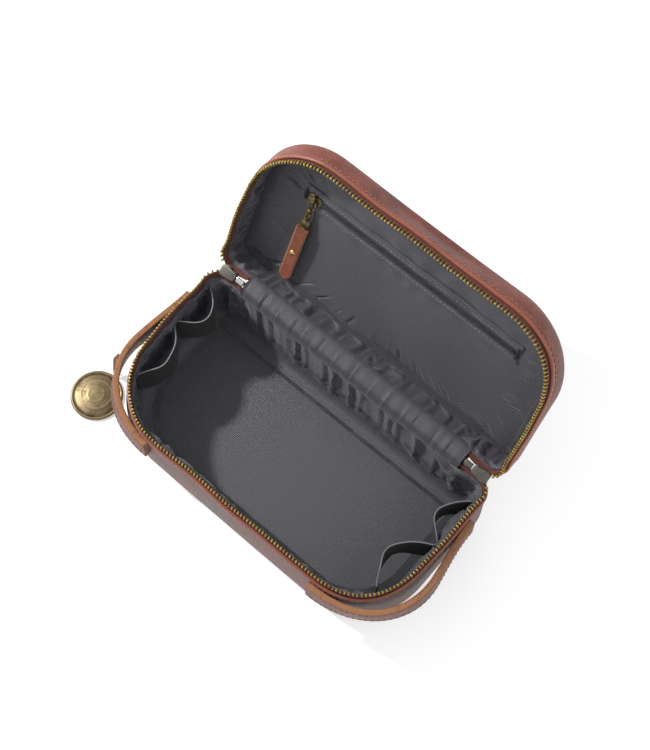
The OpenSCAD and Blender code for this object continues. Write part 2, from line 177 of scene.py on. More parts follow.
import json
import logging
import math
from dataclasses import dataclass, field
from enum import Enum
from pathlib import Path
from typing import Any, Callable, Iterable, Sequence

import bpy
import numpy as np
from mathutils import Vector

logging.basicConfig(level=logging.INFO, format="%(levelname)s %(message)s")
log = logging.getLogger("shaving_bag")

MM = 0.001
Array = np.ndarray


# ---------------------------------------------------------------- shader arithmetic

class Sock:
    """An output socket that takes part in Python arithmetic on values."""

    def __init__(self, nodes: "Nodes", socket: bpy.types.NodeSocket) -> None:
        """Keeps the socket and the tree it belongs to."""
        self.nodes, self.socket = nodes, socket

    def __add__(self, other: "Sock | float") -> "Sock":
        """Sum."""
        return self.nodes.math("ADD", self, other)

    __radd__ = __add__

    def __mul__(self, other: "Sock | float") -> "Sock":
        """Product."""
        return self.nodes.math("MULTIPLY", self, other)

    __rmul__ = __mul__

    def __sub__(self, other: "Sock | float") -> "Sock":
        """Difference."""
        return self.nodes.math("SUBTRACT", self, other)

    def __rsub__(self, other: "Sock | float") -> "Sock":
        """Difference with this socket taken away."""
        return self.nodes.math("SUBTRACT", other, self)

    def __truediv__(self, other: "Sock | float") -> "Sock":
        """Quotient."""
        return self.nodes.math("DIVIDE", self, other)

    def __pow__(self, other: "Sock | float") -> "Sock":
        """Power."""
        return self.nodes.math("POWER", self, other)

    def sin(self) -> "Sock":
        """Sine."""
        return self.nodes.math("SINE", self)

    def absolute(self) -> "Sock":
        """Magnitude."""
        return self.nodes.math("ABSOLUTE", self)

    def ramp(self, low: float, high: float, to_low: float = 0.0, to_high: float = 1.0) -> "Sock":
        """Smooth step of this value from low..high to to_low..to_high."""
        return self.nodes.node(
            "ShaderNodeMapRange", {"interpolation_type": "SMOOTHSTEP"},
            {"Value": self, "From Min": low, "From Max": high, "To Min": to_low, "To Max": to_high})


Value = Sock | float
Colour = Sock | tuple[float, float, float]


def tint(code: str) -> tuple[float, float, float]:
    """Linear colour of a six-digit web colour.

    Args:
        code: such as "8a4a30".

    Returns:
        Red, green and blue from 0 to 1, linear.
    """
    parts = [int(code[i:i + 2], 16) / 255 for i in (0, 2, 4)]
    return tuple(c / 12.92 if c <= 0.04045 else ((c + 0.055) / 1.055) ** 2.4 for c in parts)


class Nodes:
    """One material's node tree, with the few ways that nodes are added to it."""

    def __init__(self, name: str) -> None:
        """Starts an empty material of that name."""
        self.material = bpy.data.materials.new(name)
        self.material.use_nodes = True
        self.tree = self.material.node_tree
        self.tree.nodes.clear()

    def node(self, kind: str, settings: dict[str, Any] | None = None,
             values: dict[str | int, Any] | None = None, out: str | int = 0) -> Sock:
        """Adds one node.

        Args:
            kind: the node's type.
            settings: its own properties, set first.
            values: constants or sockets for its inputs, by name or number.
            out: which output is wanted.

        Returns:
            That output.
        """
        made = self.tree.nodes.new(kind)
        for key, value in (settings or {}).items():
            setattr(made, key, value)
        for key, value in (values or {}).items():
            self._feed(made.inputs[key], value)
        return Sock(self, made.outputs[out])

    def _feed(self, socket: bpy.types.NodeSocket, value: Any) -> None:
        """Links a socket to value, or sets it as a constant."""
        if isinstance(value, Sock):
            self.tree.links.new(value.socket, socket)
        elif isinstance(value, tuple) and len(value) == 3 and socket.type == "RGBA":
            socket.default_value = (*value, 1.0)
        else:
            socket.default_value = value

    def math(self, operation: str, first: Value, second: Value = 0.0) -> Sock:
        """Value arithmetic."""
        return self.node("ShaderNodeMath", {"operation": operation}, {0: first, 1: second})

    def vector(self, operation: str, first: Any, second: Any) -> Sock:
        """Vector arithmetic."""
        return self.node("ShaderNodeVectorMath", {"operation": operation}, {0: first, 1: second})

    def mix(self, share: Value, first: Colour, second: Colour, how: str = "MIX") -> Sock:
        """Colour between first and second by share."""
        return self.node("ShaderNodeMix", {"data_type": "RGBA", "blend_type": how},
                         {0: share, 6: first, 7: second}, 2)

    def place(self) -> Sock:
        """Position in the bag's own frame, in metres."""
        return self.node("ShaderNodeTexCoord", out="Object")

    def cloth(self) -> tuple[Sock, Sock]:
        """Distances along and across the material, in millimetres, from the piece's UV map."""
        parts = self.node("ShaderNodeSeparateXYZ", values={0: self.node("ShaderNodeTexCoord", out="UV")})
        return parts, Sock(self, parts.socket.node.outputs[1])

    def value_of(self, attribute: str) -> Sock:
        """A number stored on the piece's points."""
        return self.node("ShaderNodeAttribute", {"attribute_name": attribute}, out="Fac")

    def noise(self, where: Sock, scale: float, detail: float = 3.0, rough: float = 0.5,
              warp: float = 0.0) -> Sock:
        """Cloudy noise from 0 to 1."""
        return self.node("ShaderNodeTexNoise", None, {
            "Vector": where, "Scale": scale, "Detail": detail, "Roughness": rough, "Distortion": warp})

    def cells(self, where: Sock, scale: float, feature: str = "DISTANCE_TO_EDGE") -> Sock:
        """Distance inside irregular cells."""
        return self.node("ShaderNodeTexVoronoi", {"feature": feature}, {"Vector": where, "Scale": scale})

    def stretched(self, where: Sock, x: float, y: float, z: float) -> Sock:
        """Position scaled by x, y and z."""
        return self.vector("MULTIPLY", where, (x, y, z))

    def bump(self, height: Sock, distance: float, strength: float = 1.0, below: Sock | None = None) -> Sock:
        """Normal of a relief of that height in metres, over another normal."""
        values: dict[str | int, Any] = {"Height": height, "Distance": distance, "Strength": strength}
        if below is not None:
            values["Normal"] = below
        return self.node("ShaderNodeBump", None, values)

    def finish(self, **values: Any) -> bpy.types.Material:
        """Ends the tree with a Principled shader.

        Args:
            values: its inputs, with underscores for spaces.

        Returns:
            The material.
        """
        shader = self.node("ShaderNodeBsdfPrincipled", None,
                           {key.replace("_", " "): value for key, value in values.items()})
        self.node_out = self.tree.nodes.new("ShaderNodeOutputMaterial")
        self.tree.links.new(shader.socket, self.node_out.inputs["Surface"])
        return self.material


# ---------------------------------------------------------------- finishes

@dataclass(frozen=True)
class Leather:
    """Full-grain leather with a burnished turned edge and a raw cut edge where the piece asks for them."""

    name: str
    slot: str
    dark: str
    middle: str
    light: str
    edge: str = "7f4330"
    raw: str = "83573b"
    grain: float = 1500.0
    depth: float = 0.00011
    rough: float = 0.46
    coat: float = 0.12

    def build(self) -> bpy.types.Material:
        """Cloudy colour with pull-up patches, a grain of small cells, fine pores and long soft creases.

        Returns:
            The material.
        """
        n = Nodes(self.name)
        p = n.place()
        patch = n.noise(p, 16.0, 4.0, 0.6, 0.4)
        mottle = n.noise(p, 95.0, 5.0, 0.62, 0.3)
        fine = n.noise(p, 900.0, 3.0, 0.6)
        colour = n.mix(patch.ramp(0.34, 0.66), tint(self.dark), tint(self.middle))
        colour = n.mix(mottle.ramp(0.42, 0.74) * 0.55, colour, tint(self.light))
        grain = n.cells(p, self.grain).ramp(0.02, 0.24)
        pores = n.cells(p, self.grain * 0.42, "F1").ramp(0.05, 0.30)
        crease = (n.noise(n.stretched(p, 1.0, 1.0, 2.2), 70.0, 3.0, 0.55, 1.4) - 0.5).absolute().ramp(0.0, 0.035)
        colour = n.mix((1.0 - grain) * 0.32, colour, tint(self.dark))
        edge, raw = n.value_of("edge"), n.value_of("raw")
        burnish = n.mix(fine.ramp(0.3, 0.7), tint(self.edge), tint(self.light))
        colour = n.mix(edge * 0.9, colour, burnish)
        fibre = n.noise(p, 2600.0, 4.0, 0.7)
        suede = n.mix(fibre.ramp(0.35, 0.68), tint(self.raw), tint("a87a56"))
        layer = n.noise(p, 240.0, 3.0, 0.6)
        suede = n.mix(layer.ramp(0.5, 0.75) * 0.5, suede, tint("6b3c24"))
        colour = n.mix(raw, colour, suede)
        smooth = 1.0 - edge * 0.75
        height = (grain * 0.75 + pores * 0.3 + crease * 0.55 + fine * 0.35) * smooth * (1.0 - raw) + fibre * raw * 1.6
        rough = (patch.ramp(0.2, 0.8, self.rough - 0.05, self.rough + 0.09)
                 + (1.0 - grain) * 0.12 - edge * 0.16) * (1.0 - raw) + raw * 0.93
        return n.finish(Base_Color=colour, Roughness=rough, Normal=n.bump(height, self.depth),
                        Coat_Weight=self.coat * (1.0 - raw), Coat_Roughness=0.32, Specular_IOR_Level=0.5)


@dataclass(frozen=True)
class Lining:
    """Shiny woven polyester with a small waffle of raised threads."""

    name: str
    slot: str
    dark: str = "131317"
    middle: str = "47454d"
    shine: str = "85838d"
    repeat: float = 1.7

    def build(self) -> bpy.types.Material:
        """A diagonal waffle of small squares over fine threads, both worked from distances on the cloth.

        Returns:
            The material.
        """
        n = Nodes(self.name)
        p = n.place()
        u, v = n.cloth()
        wave = 2 * math.pi / self.repeat
        drift = n.noise(p, 60.0, 2.0) * 0.5
        a = ((u + v) * (wave / 1.414) + drift).sin()
        b = ((u - v) * (wave / 1.414) + drift).sin()
        waffle = (a * b).ramp(-0.35, 0.5)
        threads = (u * (wave * 4.0)).sin() * 0.5 + (v * (wave * 4.0)).sin() * 0.5
        slub = n.noise(n.stretched(n.node("ShaderNodeTexCoord", out="UV"), 0.9, 5.0, 1.0), 1.0, 2.0)
        tone = waffle * 0.7 + threads * 0.12 + slub * 0.4
        colour = n.mix(tone.ramp(0.1, 1.0), tint(self.dark), tint(self.middle))
        # Raised waffle tops are mixed towards a pale grey: a painted highlight standing in for the glint of the
        # threads.
        colour = n.mix(tone.ramp(0.62, 1.1) * 0.5, colour, tint(self.shine))
        # Near-black is mixed in by the fold value on the points: painted shade in the creases. No piece here stores
        # that value, so it adds nothing.
        folds = n.value_of("fold")
        colour = n.mix(folds * 0.45, colour, tint("0c0c0e"))
        height = waffle * 0.8 + threads * 0.25
        return n.finish(Base_Color=colour, Roughness=waffle.ramp(0.0, 1.0, 0.52, 0.33),
                        Normal=n.bump(height, 0.00016), Sheen_Weight=0.3, Sheen_Roughness=0.4,
                        Sheen_Tint=(0.8, 0.79, 0.85, 1.0), Specular_IOR_Level=0.7)


@dataclass(frozen=True)
class Ribbed:
    """Narrow woven goods whose threads stand as ribs: grosgrain, elastic or zip tape."""

    name: str
    slot: str
    dark: str
    light: str
    rib: float = 0.9
    across: float = 0.45
    slant: float = 0.0
    depth: float = 0.00018
    rough: float = 0.7
    sheen: float = 0.3

    def build(self) -> bpy.types.Material:
        """Ribs along one direction of the cloth, crossed by finer threads and slanted by a share.

        Returns:
            The material.
        """
        n = Nodes(self.name)
        u, v = n.cloth()
        p = n.place()
        fuzz = n.noise(p, 1500.0, 3.0, 0.6)
        ribs = ((u + v * self.slant) * (2 * math.pi / self.rib)).sin().ramp(-0.8, 0.9)
        cross = ((v - u * self.slant) * (2 * math.pi / self.across)).sin().ramp(-1.0, 1.0)
        wear = n.noise(p, 120.0, 3.0)
        tone = ribs * 0.6 + cross * 0.22 + fuzz * 0.3
        colour = n.mix(tone.ramp(0.15, 0.95), tint(self.dark), tint(self.light))
        colour = n.mix(wear.ramp(0.4, 0.8) * 0.3, colour, tint(self.dark))
        # The edge value, which only the elastic bands store at their top and bottom rims, mixes in a light grey: a
        # painted highlight along the bands' rims.
        edge = n.value_of("edge")
        colour = n.mix(edge * 0.7, colour, tint("8b8b90"))
        return n.finish(Base_Color=colour, Roughness=fuzz.ramp(0.2, 0.8, self.rough - 0.08, self.rough + 0.1),
                        Normal=n.bump(ribs + cross * 0.35 + fuzz * 0.25, self.depth),
                        Sheen_Weight=self.sheen, Sheen_Roughness=0.5)


@dataclass(frozen=True)
class Metal:
    """Cast or plated metal with tarnish in its hollows and brightness on worn places."""

    name: str
    slot: str
    bright: str
    dull: str
    rough: float = 0.3
    age: float = 0.5
    pits: float = 0.00003
    scale: float = 260.0

    def build(self) -> bpy.types.Material:
        """Cloudy tarnish over a bright metal, with small pits and faint scratches.

        Returns:
            The material.
        """
        n = Nodes(self.name)
        p = n.place()
        cloud = n.noise(p, self.scale, 5.0, 0.65, 0.8)
        speck = n.noise(p, self.scale * 7.0, 3.0, 0.6)
        scratch = n.noise(n.stretched(p, 1.0, 9.0, 1.0), 900.0, 2.0)
        stain = (cloud * 0.75 + speck * 0.35).ramp(0.62 - 0.3 * self.age, 0.86 - 0.2 * self.age)
        relief = n.value_of("relief")
        stain = stain * (1.0 - relief * 0.85)
        colour = n.mix(stain * min(1.0, self.age + 0.2), tint(self.bright), tint(self.dull))
        rough = stain * 0.28 + speck * 0.12 + self.rough
        return n.finish(Base_Color=colour, Metallic=1.0, Roughness=rough,
                        Normal=n.bump(speck + scratch * 0.4 - stain * 0.8, self.pits))


@dataclass(frozen=True)
class Plain:
    """Moulded, spun or pressed stuff of nearly one colour, such as thread, coil or board."""

    name: str
    slot: str
    dark: str
    light: str
    rough: float = 0.5
    scale: float = 1400.0
    depth: float = 0.00005

    def build(self) -> bpy.types.Material:
        """Two near colours in a fine mottle with a matching relief.

        Returns:
            The material.
        """
        n = Nodes(self.name)
        p = n.place()
        mottle = n.noise(p, self.scale, 4.0, 0.6)
        colour = n.mix(mottle.ramp(0.3, 0.7), tint(self.dark), tint(self.light))
        return n.finish(Base_Color=colour, Roughness=mottle.ramp(0.2, 0.8, self.rough - 0.05, self.rough + 0.08),
                        Normal=n.bump(mottle, self.depth))


class Finish(Enum):
    """Every finish on the bag."""

    BASE_LEATHER = Leather("base_leather", "base_leather", "3c1d16", "5c2e22", "784434")
    # The lid's leather is the same leather as the base's, given lighter colours: painted light for the lid's lit face.
    LID_LEATHER = Leather("lid_leather", "lid_leather", "54251b", "7d3c2b", "97543f")
    HINGE_LEATHER = Leather("hinge_leather", "hinge_leather", "3e1d15", "5c2f22", "784634")
    STRAP_LEATHER = Leather("strap_leather", "strap_leather", "45231a", "663527", "865340")
    TAB_LEATHER = Leather("tab_leather", "tab_leather", "64301f", "8f4a34", "ab6a4f", grain=1900.0)
    LACE_LEATHER = Leather("lace_leather", "lace_leather", "6a3222", "8c4b34", "aa6a50", grain=1900.0)
    BODY_LINING = Lining("lining", "lining")
    POCKET_LINING = Lining("pocket_lining", "pocket_lining")
    GROSGRAIN = Ribbed("binding", "binding", "0c0c0e", "34343a", rib=1.5, across=0.6)
    ELASTIC = Ribbed("elastic", "elastic", "050506", "141417", rib=1.3, across=0.6, depth=0.00022, sheen=0.08)
    ZIP_TAPE = Ribbed("zip_tape", "zip_tape", "43190f", "7d3b30", rib=0.9, across=0.6, slant=0.6, sheen=0.15)
    POCKET_TAPE = Ribbed("pocket_zip", "pocket_zip", "0d0e12", "2c2e36", rib=0.7, across=0.5, slant=0.6)
    COIL = Plain("coil", "coil", "23252c", "4c505c", 0.3)
    TEETH = Metal("zip_brass", "zip_brass", "b39a5e", "3f3320", 0.3, 0.6, scale=320.0)
    ANTIQUE = Metal("antique_brass", "antique_brass", "857650", "25231b", 0.27, 0.75)
    RIVET = Metal("rivet_brass", "rivet_brass", "dcb979", "8b6a39", 0.24, 0.3)
    GUNMETAL = Metal("gunmetal", "gunmetal", "77746c", "35342f", 0.3, 0.5)
    NICKEL = Metal("nickel", "nickel", "dcdcda", "8f8f8f", 0.18, 0.25)
    MEDAL = Metal("medallion", "medallion", "85765a", "3a3024", 0.4, 0.6, 0.00005, 150.0)
    TAN_THREAD = Plain("tan_thread", "strap_leather", "7c4c38", "a9735a", 0.62)
    GREY_THREAD = Plain("grey_thread", "lining", "6a6a73", "9c9ca6", 0.6)
    BLACK_THREAD = Plain("black_thread", "lining", "0a0a0b", "1d1d20", 0.6)
    BOARD = Plain("board", "board", "7f7668", "9a907f", 0.85, 500.0)

    def material(self) -> bpy.types.Material:
        """The finish's material, made once."""
        found = bpy.data.materials.get(f"{self.value.name}.made")
        if found is None:
            found = self.value.build()
            found.name = f"{self.value.name}.made"
        return found


# ---------------------------------------------------------------- mesh building

@dataclass
class Patch:
    """Points in millimetres, with faces grouped by their number of corners.

    Attributes:
        points: one row for each point.
        faces: for each number of corners, an array of point numbers.
        uv: for each number of corners, the cloth distances at each corner.
        values: numbers stored on the points, by name.
    """

    points: Array
    faces: dict[int, Array] = field(default_factory=dict)
    uv: dict[int, Array] = field(default_factory=dict)
    values: dict[str, Array] = field(default_factory=dict)

    def moved(self, place: Callable[[Array], Array]) -> "Patch":
        """The same patch with its points sent through place."""
        return Patch(place(self.points), self.faces, self.uv, self.values)


def join(patches: Iterable[Patch]) -> Patch:
    """Puts patches together as one.

    Args:
        patches: the patches; a value that one lacks is 0 there.

    Returns:
        One patch.
    """
    patches = list(patches)
    names = {name for p in patches for name in p.values}
    faces: dict[int, list[Array]] = {}
    uv: dict[int, list[Array]] = {}
    start = 0
    for p in patches:
        for k, f in p.faces.items():
            faces.setdefault(k, []).append(f + start)
            uv.setdefault(k, []).append(p.uv.get(k, np.zeros((*f.shape, 2))))
        start += len(p.points)
    values = {name: np.concatenate([p.values.get(name, np.zeros(len(p.points))) for p in patches])
              for name in names}
    return Patch(np.concatenate([p.points for p in patches]),
                 {k: np.concatenate(f) for k, f in faces.items()},
                 {k: np.concatenate(w) for k, w in uv.items()}, values)


def grid(points: Array, uv: Array | None = None, wrap: bool = False,
         values: dict[str, Array] | None = None) -> Patch:
    """A surface whose points stand in rows.

    Args:
        points: rows by columns by 3.
        uv: cloth distances, with one more column where the columns wrap.
        wrap: whether the last column joins the first.
        values: numbers on the points, rows by columns.

    Returns:
        A patch of quads.
    """
    rows, columns = points.shape[:2]
    last = columns if wrap else columns - 1
    i, j = np.meshgrid(np.arange(rows - 1), np.arange(last), indexing="ij")
    i, j = i.ravel(), j.ravel()
    k = (j + 1) % columns
    quads = np.stack([i * columns + j, i * columns + k, (i + 1) * columns + k, (i + 1) * columns + j], 1)
    if uv is None:
        uv = np.zeros((rows, last + 1, 2))
    corner = np.stack([uv[i, j], uv[i, j + 1], uv[i + 1, j + 1], uv[i + 1, j]], 1)
    return Patch(points.reshape(-1, 3), {4: quads}, {4: corner},
                 {name: v.ravel() for name, v in (values or {}).items()})


def capped(patch: Patch, ring: Array, centre: Array, first: bool, uv: Array) -> Patch:
    """Closes a wrapped grid with a fan to one middle point.

    Args:
        patch: the patch.
        ring: the point numbers of the row to be closed.
        centre: the middle point.
        first: whether the row is the grid's first one.
        uv: cloth distances of the ring's points, with the middle's in the last row.

    Returns:
        The patch with the fan.
    """
    middle = len(patch.points)
    nxt = np.roll(ring, -1)
    fan = np.stack([nxt, ring, np.full_like(ring, middle)] if first else [ring, nxt, np.full_like(ring, middle)], 1)
    a, b = uv[:-1], np.roll(uv[:-1], -1, 0)
    c = np.repeat(uv[-1:], len(a), 0)
    corner = np.stack([b, a, c] if first else [a, b, c], 1)
    faces, corners = dict(patch.faces), dict(patch.uv)
    faces[3] = np.concatenate([faces[3], fan]) if 3 in faces else fan
    corners[3] = np.concatenate([corners[3], corner]) if 3 in corners else corner
    values = {name: np.append(v, v[ring[0]]) for name, v in patch.values.items()}
    return Patch(np.vstack([patch.points, centre]), faces, corners, values)


def carried(profile: Array, origins: Array, across: Array, up: Array, closed: bool = False,
            values: dict[str, Array] | None = None) -> Patch:
    """A closed profile carried along a path.

    Args:
        profile: points of the profile as (across, up) pairs, or one set of pairs for each place.
        origins: the path's points.
        across: the profile's first direction at each point.
        up: its second direction at each point.
        closed: whether the path joins its own start.
        values: numbers for the profile's points.

    Returns:
        A closed patch, with flat ends where the path is open.
    """
    profile = np.broadcast_to(profile, (len(origins), *profile.shape[-2:]))
    points = (origins[:, None] + profile[..., :1] * across[:, None] + profile[..., 1:] * up[:, None])
    along = np.concatenate([[0.0], np.cumsum(np.linalg.norm(np.diff(origins, axis=0), axis=1))])
    around = np.concatenate([[0.0], np.cumsum(np.linalg.norm(
        np.diff(np.vstack([profile[0], profile[0, :1]]), axis=0), axis=1))])
    uv = np.stack(np.meshgrid(along, around, indexing="ij"), -1)
    count = profile.shape[1]
    spread = {name: np.broadcast_to(v, points.shape[:2]) for name, v in (values or {}).items()}
    if closed:
        lap = float(np.linalg.norm(origins[0] - origins[-1]))
        points = points.swapaxes(0, 1)
        spread = {name: v.T for name, v in spread.items()}
        uv = np.stack(np.meshgrid(around, np.append(along, along[-1] + lap), indexing="ij"), -1)[..., ::-1]
        points = np.vstack([points, points[:1]])[:-1]
        made = grid(np.ascontiguousarray(points), uv[:-1], True, spread)
        rows, columns = points.shape[:2]
        j = np.arange(columns)
        k = (j + 1) % columns
        last = np.stack([(rows - 1) * columns + j, (rows - 1) * columns + k, k, j], 1)
        corner = np.stack([uv[rows - 1, j], uv[rows - 1, j + 1], uv[rows, j + 1], uv[rows, j]], 1)
        return Patch(made.points, {4: np.vstack([made.faces[4], last])},
                     {4: np.concatenate([made.uv[4], corner])}, made.values)
    made = grid(points, uv, True, spread)
    start = np.arange(count)
    ends = np.stack([start[::-1], start + (len(origins) - 1) * count])
    made.faces[count] = np.concatenate([made.faces[count], ends]) if count in made.faces else ends
    corner = np.broadcast_to(uv[0, :-1], (2, count, 2))
    made.uv[count] = np.concatenate([made.uv[count], corner]) if count in made.uv else corner.copy()
    return made


def rounded(width: float, thick: float, radius: float, steps: int = 3) -> Array:
    """A rectangle with round corners, anticlockwise, as (across, up) pairs about its middle."""
    w, t = width / 2 - radius, thick / 2 - radius
    a = np.linspace(0, math.pi / 2, steps + 1)
    parts = [np.stack([cx * w + radius * np.cos(a + turn), cy * t + radius * np.sin(a + turn)], 1)
             for cx, cy, turn in ((1, 1, 0), (-1, 1, math.pi / 2), (-1, -1, math.pi), (1, -1, 1.5 * math.pi))]
    return np.concatenate(parts)


def round_wire(radius: float, sides: int = 12) -> Array:
    """A circle as (across, up) pairs."""
    a = np.arange(sides) * 2 * math.pi / sides
    return radius * np.stack([np.cos(a), np.sin(a)], 1)


def repeated(shape: Patch, origins: Array, a: Array, b: Array, c: Array) -> Patch:
    """The same small shape at many places.

    Args:
        shape: the shape, with points along three directions.
        origins: where each one stands.
        a: the first direction at each place.
        b: the second direction.
        c: the third direction.

    Returns:
        All of them as one patch.
    """
    local = shape.points
    points = (origins[:, None] + local[None, :, :1] * a[:, None] + local[None, :, 1:2] * b[:, None]
              + local[None, :, 2:] * c[:, None]).reshape(-1, 3)
    shift = np.arange(len(origins))[:, None, None] * len(local)
    faces = {k: (f[None] + shift).reshape(-1, k) for k, f in shape.faces.items()}
    uv = {k: np.tile(w, (len(origins), 1, 1)) for k, w in shape.uv.items()}
    values = {name: np.tile(v, len(origins)) for name, v in shape.values.items()}
    return Patch(points, faces, uv, values)


def stitch_shape(length: float, thick: float) -> Patch:
    """One stitch: a thread that dips at both ends, along the first direction, standing up along the second."""
    t = np.linspace(-1, 1, 5)
    origins = np.stack([t * length / 2, thick * (0.28 - 0.55 * t ** 4), 0 * t], 1)
    size = np.array([0.45, 0.95, 1.0, 0.95, 0.45])[:, None, None]
    up, side = np.tile([0.0, 1.0, 0.0], (5, 1)), np.tile([0.0, 0.0, 1.0], (5, 1))
    return carried(round_wire(thick / 2, 6) * size, origins, side, up)


def tooth_shape(length: float, width: float, depth: float) -> Patch:
    """One zip tooth: legs that clasp the tape, a waist and a rounded head, rising along the third direction."""
    rise = np.array([0.0, 0.10, 0.50, 0.62, 0.86, 1.0]) * length
    wide = np.array([0.62, 0.84, 0.84, 0.98, 1.0, 0.62]) * width
    deep = np.array([0.86, 1.0, 0.98, 0.84, 0.78, 0.44]) * depth
    ring = rounded(1.0, 1.0, 0.22, 1)
    profile = ring[None] * np.stack([wide, deep], 1)[:, None]
    origins = np.stack([0 * rise, 0 * rise, rise], 1)
    a, b = np.tile([1.0, 0.0, 0.0], (6, 1)), np.tile([0.0, 1.0, 0.0], (6, 1))
    return carried(profile, origins, a, b)


def plate(loops: Sequence[Array], thick: float, bevel: float) -> Patch:
    """A flat plate with round edges, cut along loops.

    Args:
        loops: its outline, then its holes, each as pairs.
        thick: its whole thickness.
        bevel: how far its edges are rounded.

    Returns:
        A closed patch about the plate's middle, lying across the third direction.
    """
    curve = bpy.data.curves.new("plate", "CURVE")
    curve.dimensions, curve.fill_mode = "2D", "BOTH"
    curve.extrude, curve.bevel_depth, curve.bevel_resolution = thick / 2 - bevel, bevel, 2
    curve.offset = -bevel
    for loop in loops:
        spline = curve.splines.new("POLY")
        spline.points.add(len(loop) - 1)
        spline.points.foreach_set("co", np.c_[loop, np.zeros(len(loop)), np.ones(len(loop))].ravel())
        spline.use_cyclic_u = True
    holder = bpy.data.objects.new("plate", curve)
    bpy.context.scene.collection.objects.link(holder)
    mesh = bpy.data.meshes.new_from_object(holder.evaluated_get(bpy.context.evaluated_depsgraph_get()))
    points = np.empty(len(mesh.vertices) * 3)
    mesh.vertices.foreach_get("co", points)
    merged, back = np.unique(np.round(points.reshape(-1, 3), 4), axis=0, return_inverse=True)
    faces: dict[int, list[list[int]]] = {}
    for polygon in mesh.polygons:
        corners = list(dict.fromkeys(back.ravel()[list(polygon.vertices)].tolist()))
        if len(corners) > 2:
            faces.setdefault(len(corners), []).append(corners)
    bpy.data.objects.remove(holder)
    bpy.data.curves.remove(curve)
    bpy.data.meshes.remove(mesh)
    return Patch(merged, {k: np.array(f) for k, f in faces.items()},
                 {k: np.zeros((len(f), k, 2)) for k, f in faces.items()})


def to_object(name: str, patch: Patch, closed: bool = True, sharp: float = 42.0) -> bpy.types.Object:
    """Makes a patch into an object at the origin.

    Args:
        name: the piece's name.
        patch: its points in millimetres, and its faces.
        closed: whether it is closed, so that its faces can be turned outwards.
        sharp: edges that bend by more than this many degrees stay crisp.

    Returns:
        The object.
    """
    mesh = bpy.data.meshes.new(name)
    faces = [row for f in patch.faces.values() for row in f.tolist()]
    mesh.from_pydata((patch.points * MM).tolist(), [], faces)
    layer = mesh.uv_layers.new(name="cloth")
    layer.data.foreach_set("uv", np.concatenate([w.reshape(-1, 2) for w in patch.uv.values()]).ravel())
    for key, values in patch.values.items():
        mesh.attributes.new(key, "FLOAT", "POINT").data.foreach_set("value", values.astype(np.float32))
    if closed:
        outward(mesh)
    mesh.shade_smooth()
    mesh.set_sharp_from_angle(angle=math.radians(sharp))
    mesh.validate()
    made = bpy.data.objects.new(name, mesh)
    bpy.context.scene.collection.objects.link(made)
    return made


def outward(mesh: bpy.types.Mesh) -> None:
    """Turns the faces of closed shapes outwards."""
    import bmesh
    work = bmesh.new()
    work.from_mesh(mesh)
    bmesh.ops.recalc_face_normals(work, faces=work.faces)
    work.to_mesh(mesh)
    work.free()


def piece(name: str, patch: Patch, finish: Finish, body: str | None, nodes: Sequence[str] = (),
          closed: bool = True, sharp: float = 42.0) -> bpy.types.Object:
    """Makes one piece of the bag and says what it stands for.

    Args:
        name: its name.
        patch: its shape.
        finish: its finish.
        body: the body it rides on, or nothing for a piece that is blended later.
        nodes: the CAD nodes it replaces.
        closed: whether its shape is closed.
        sharp: the angle past which an edge stays crisp.

    Returns:
        The object.
    """
    made = to_object(name, patch, closed, sharp)
    made.data.materials.append(finish.material())
    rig.slot(made, finish.value.slot)
    if body:
        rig.ride(made, body)
    if nodes:
        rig.replaces(made, *nodes)
    log.info("%s: %d points on %s", name, len(patch.points), body)
    return made


# ---------------------------------------------------------------- the bag's outline and softness

def smoothstep(x: Array | float, low: float, high: float) -> Array:
    """Smooth step from 0 at low to 1 at high."""
    t = np.clip((np.asarray(x, float) - low) / (high - low), 0, 1)
    return t * t * (3 - 2 * t)


def bell(x: Array, centre: float, width: float) -> Array:
    """A bell of height 1 about centre."""
    return np.exp(-((x - centre) / width) ** 2)


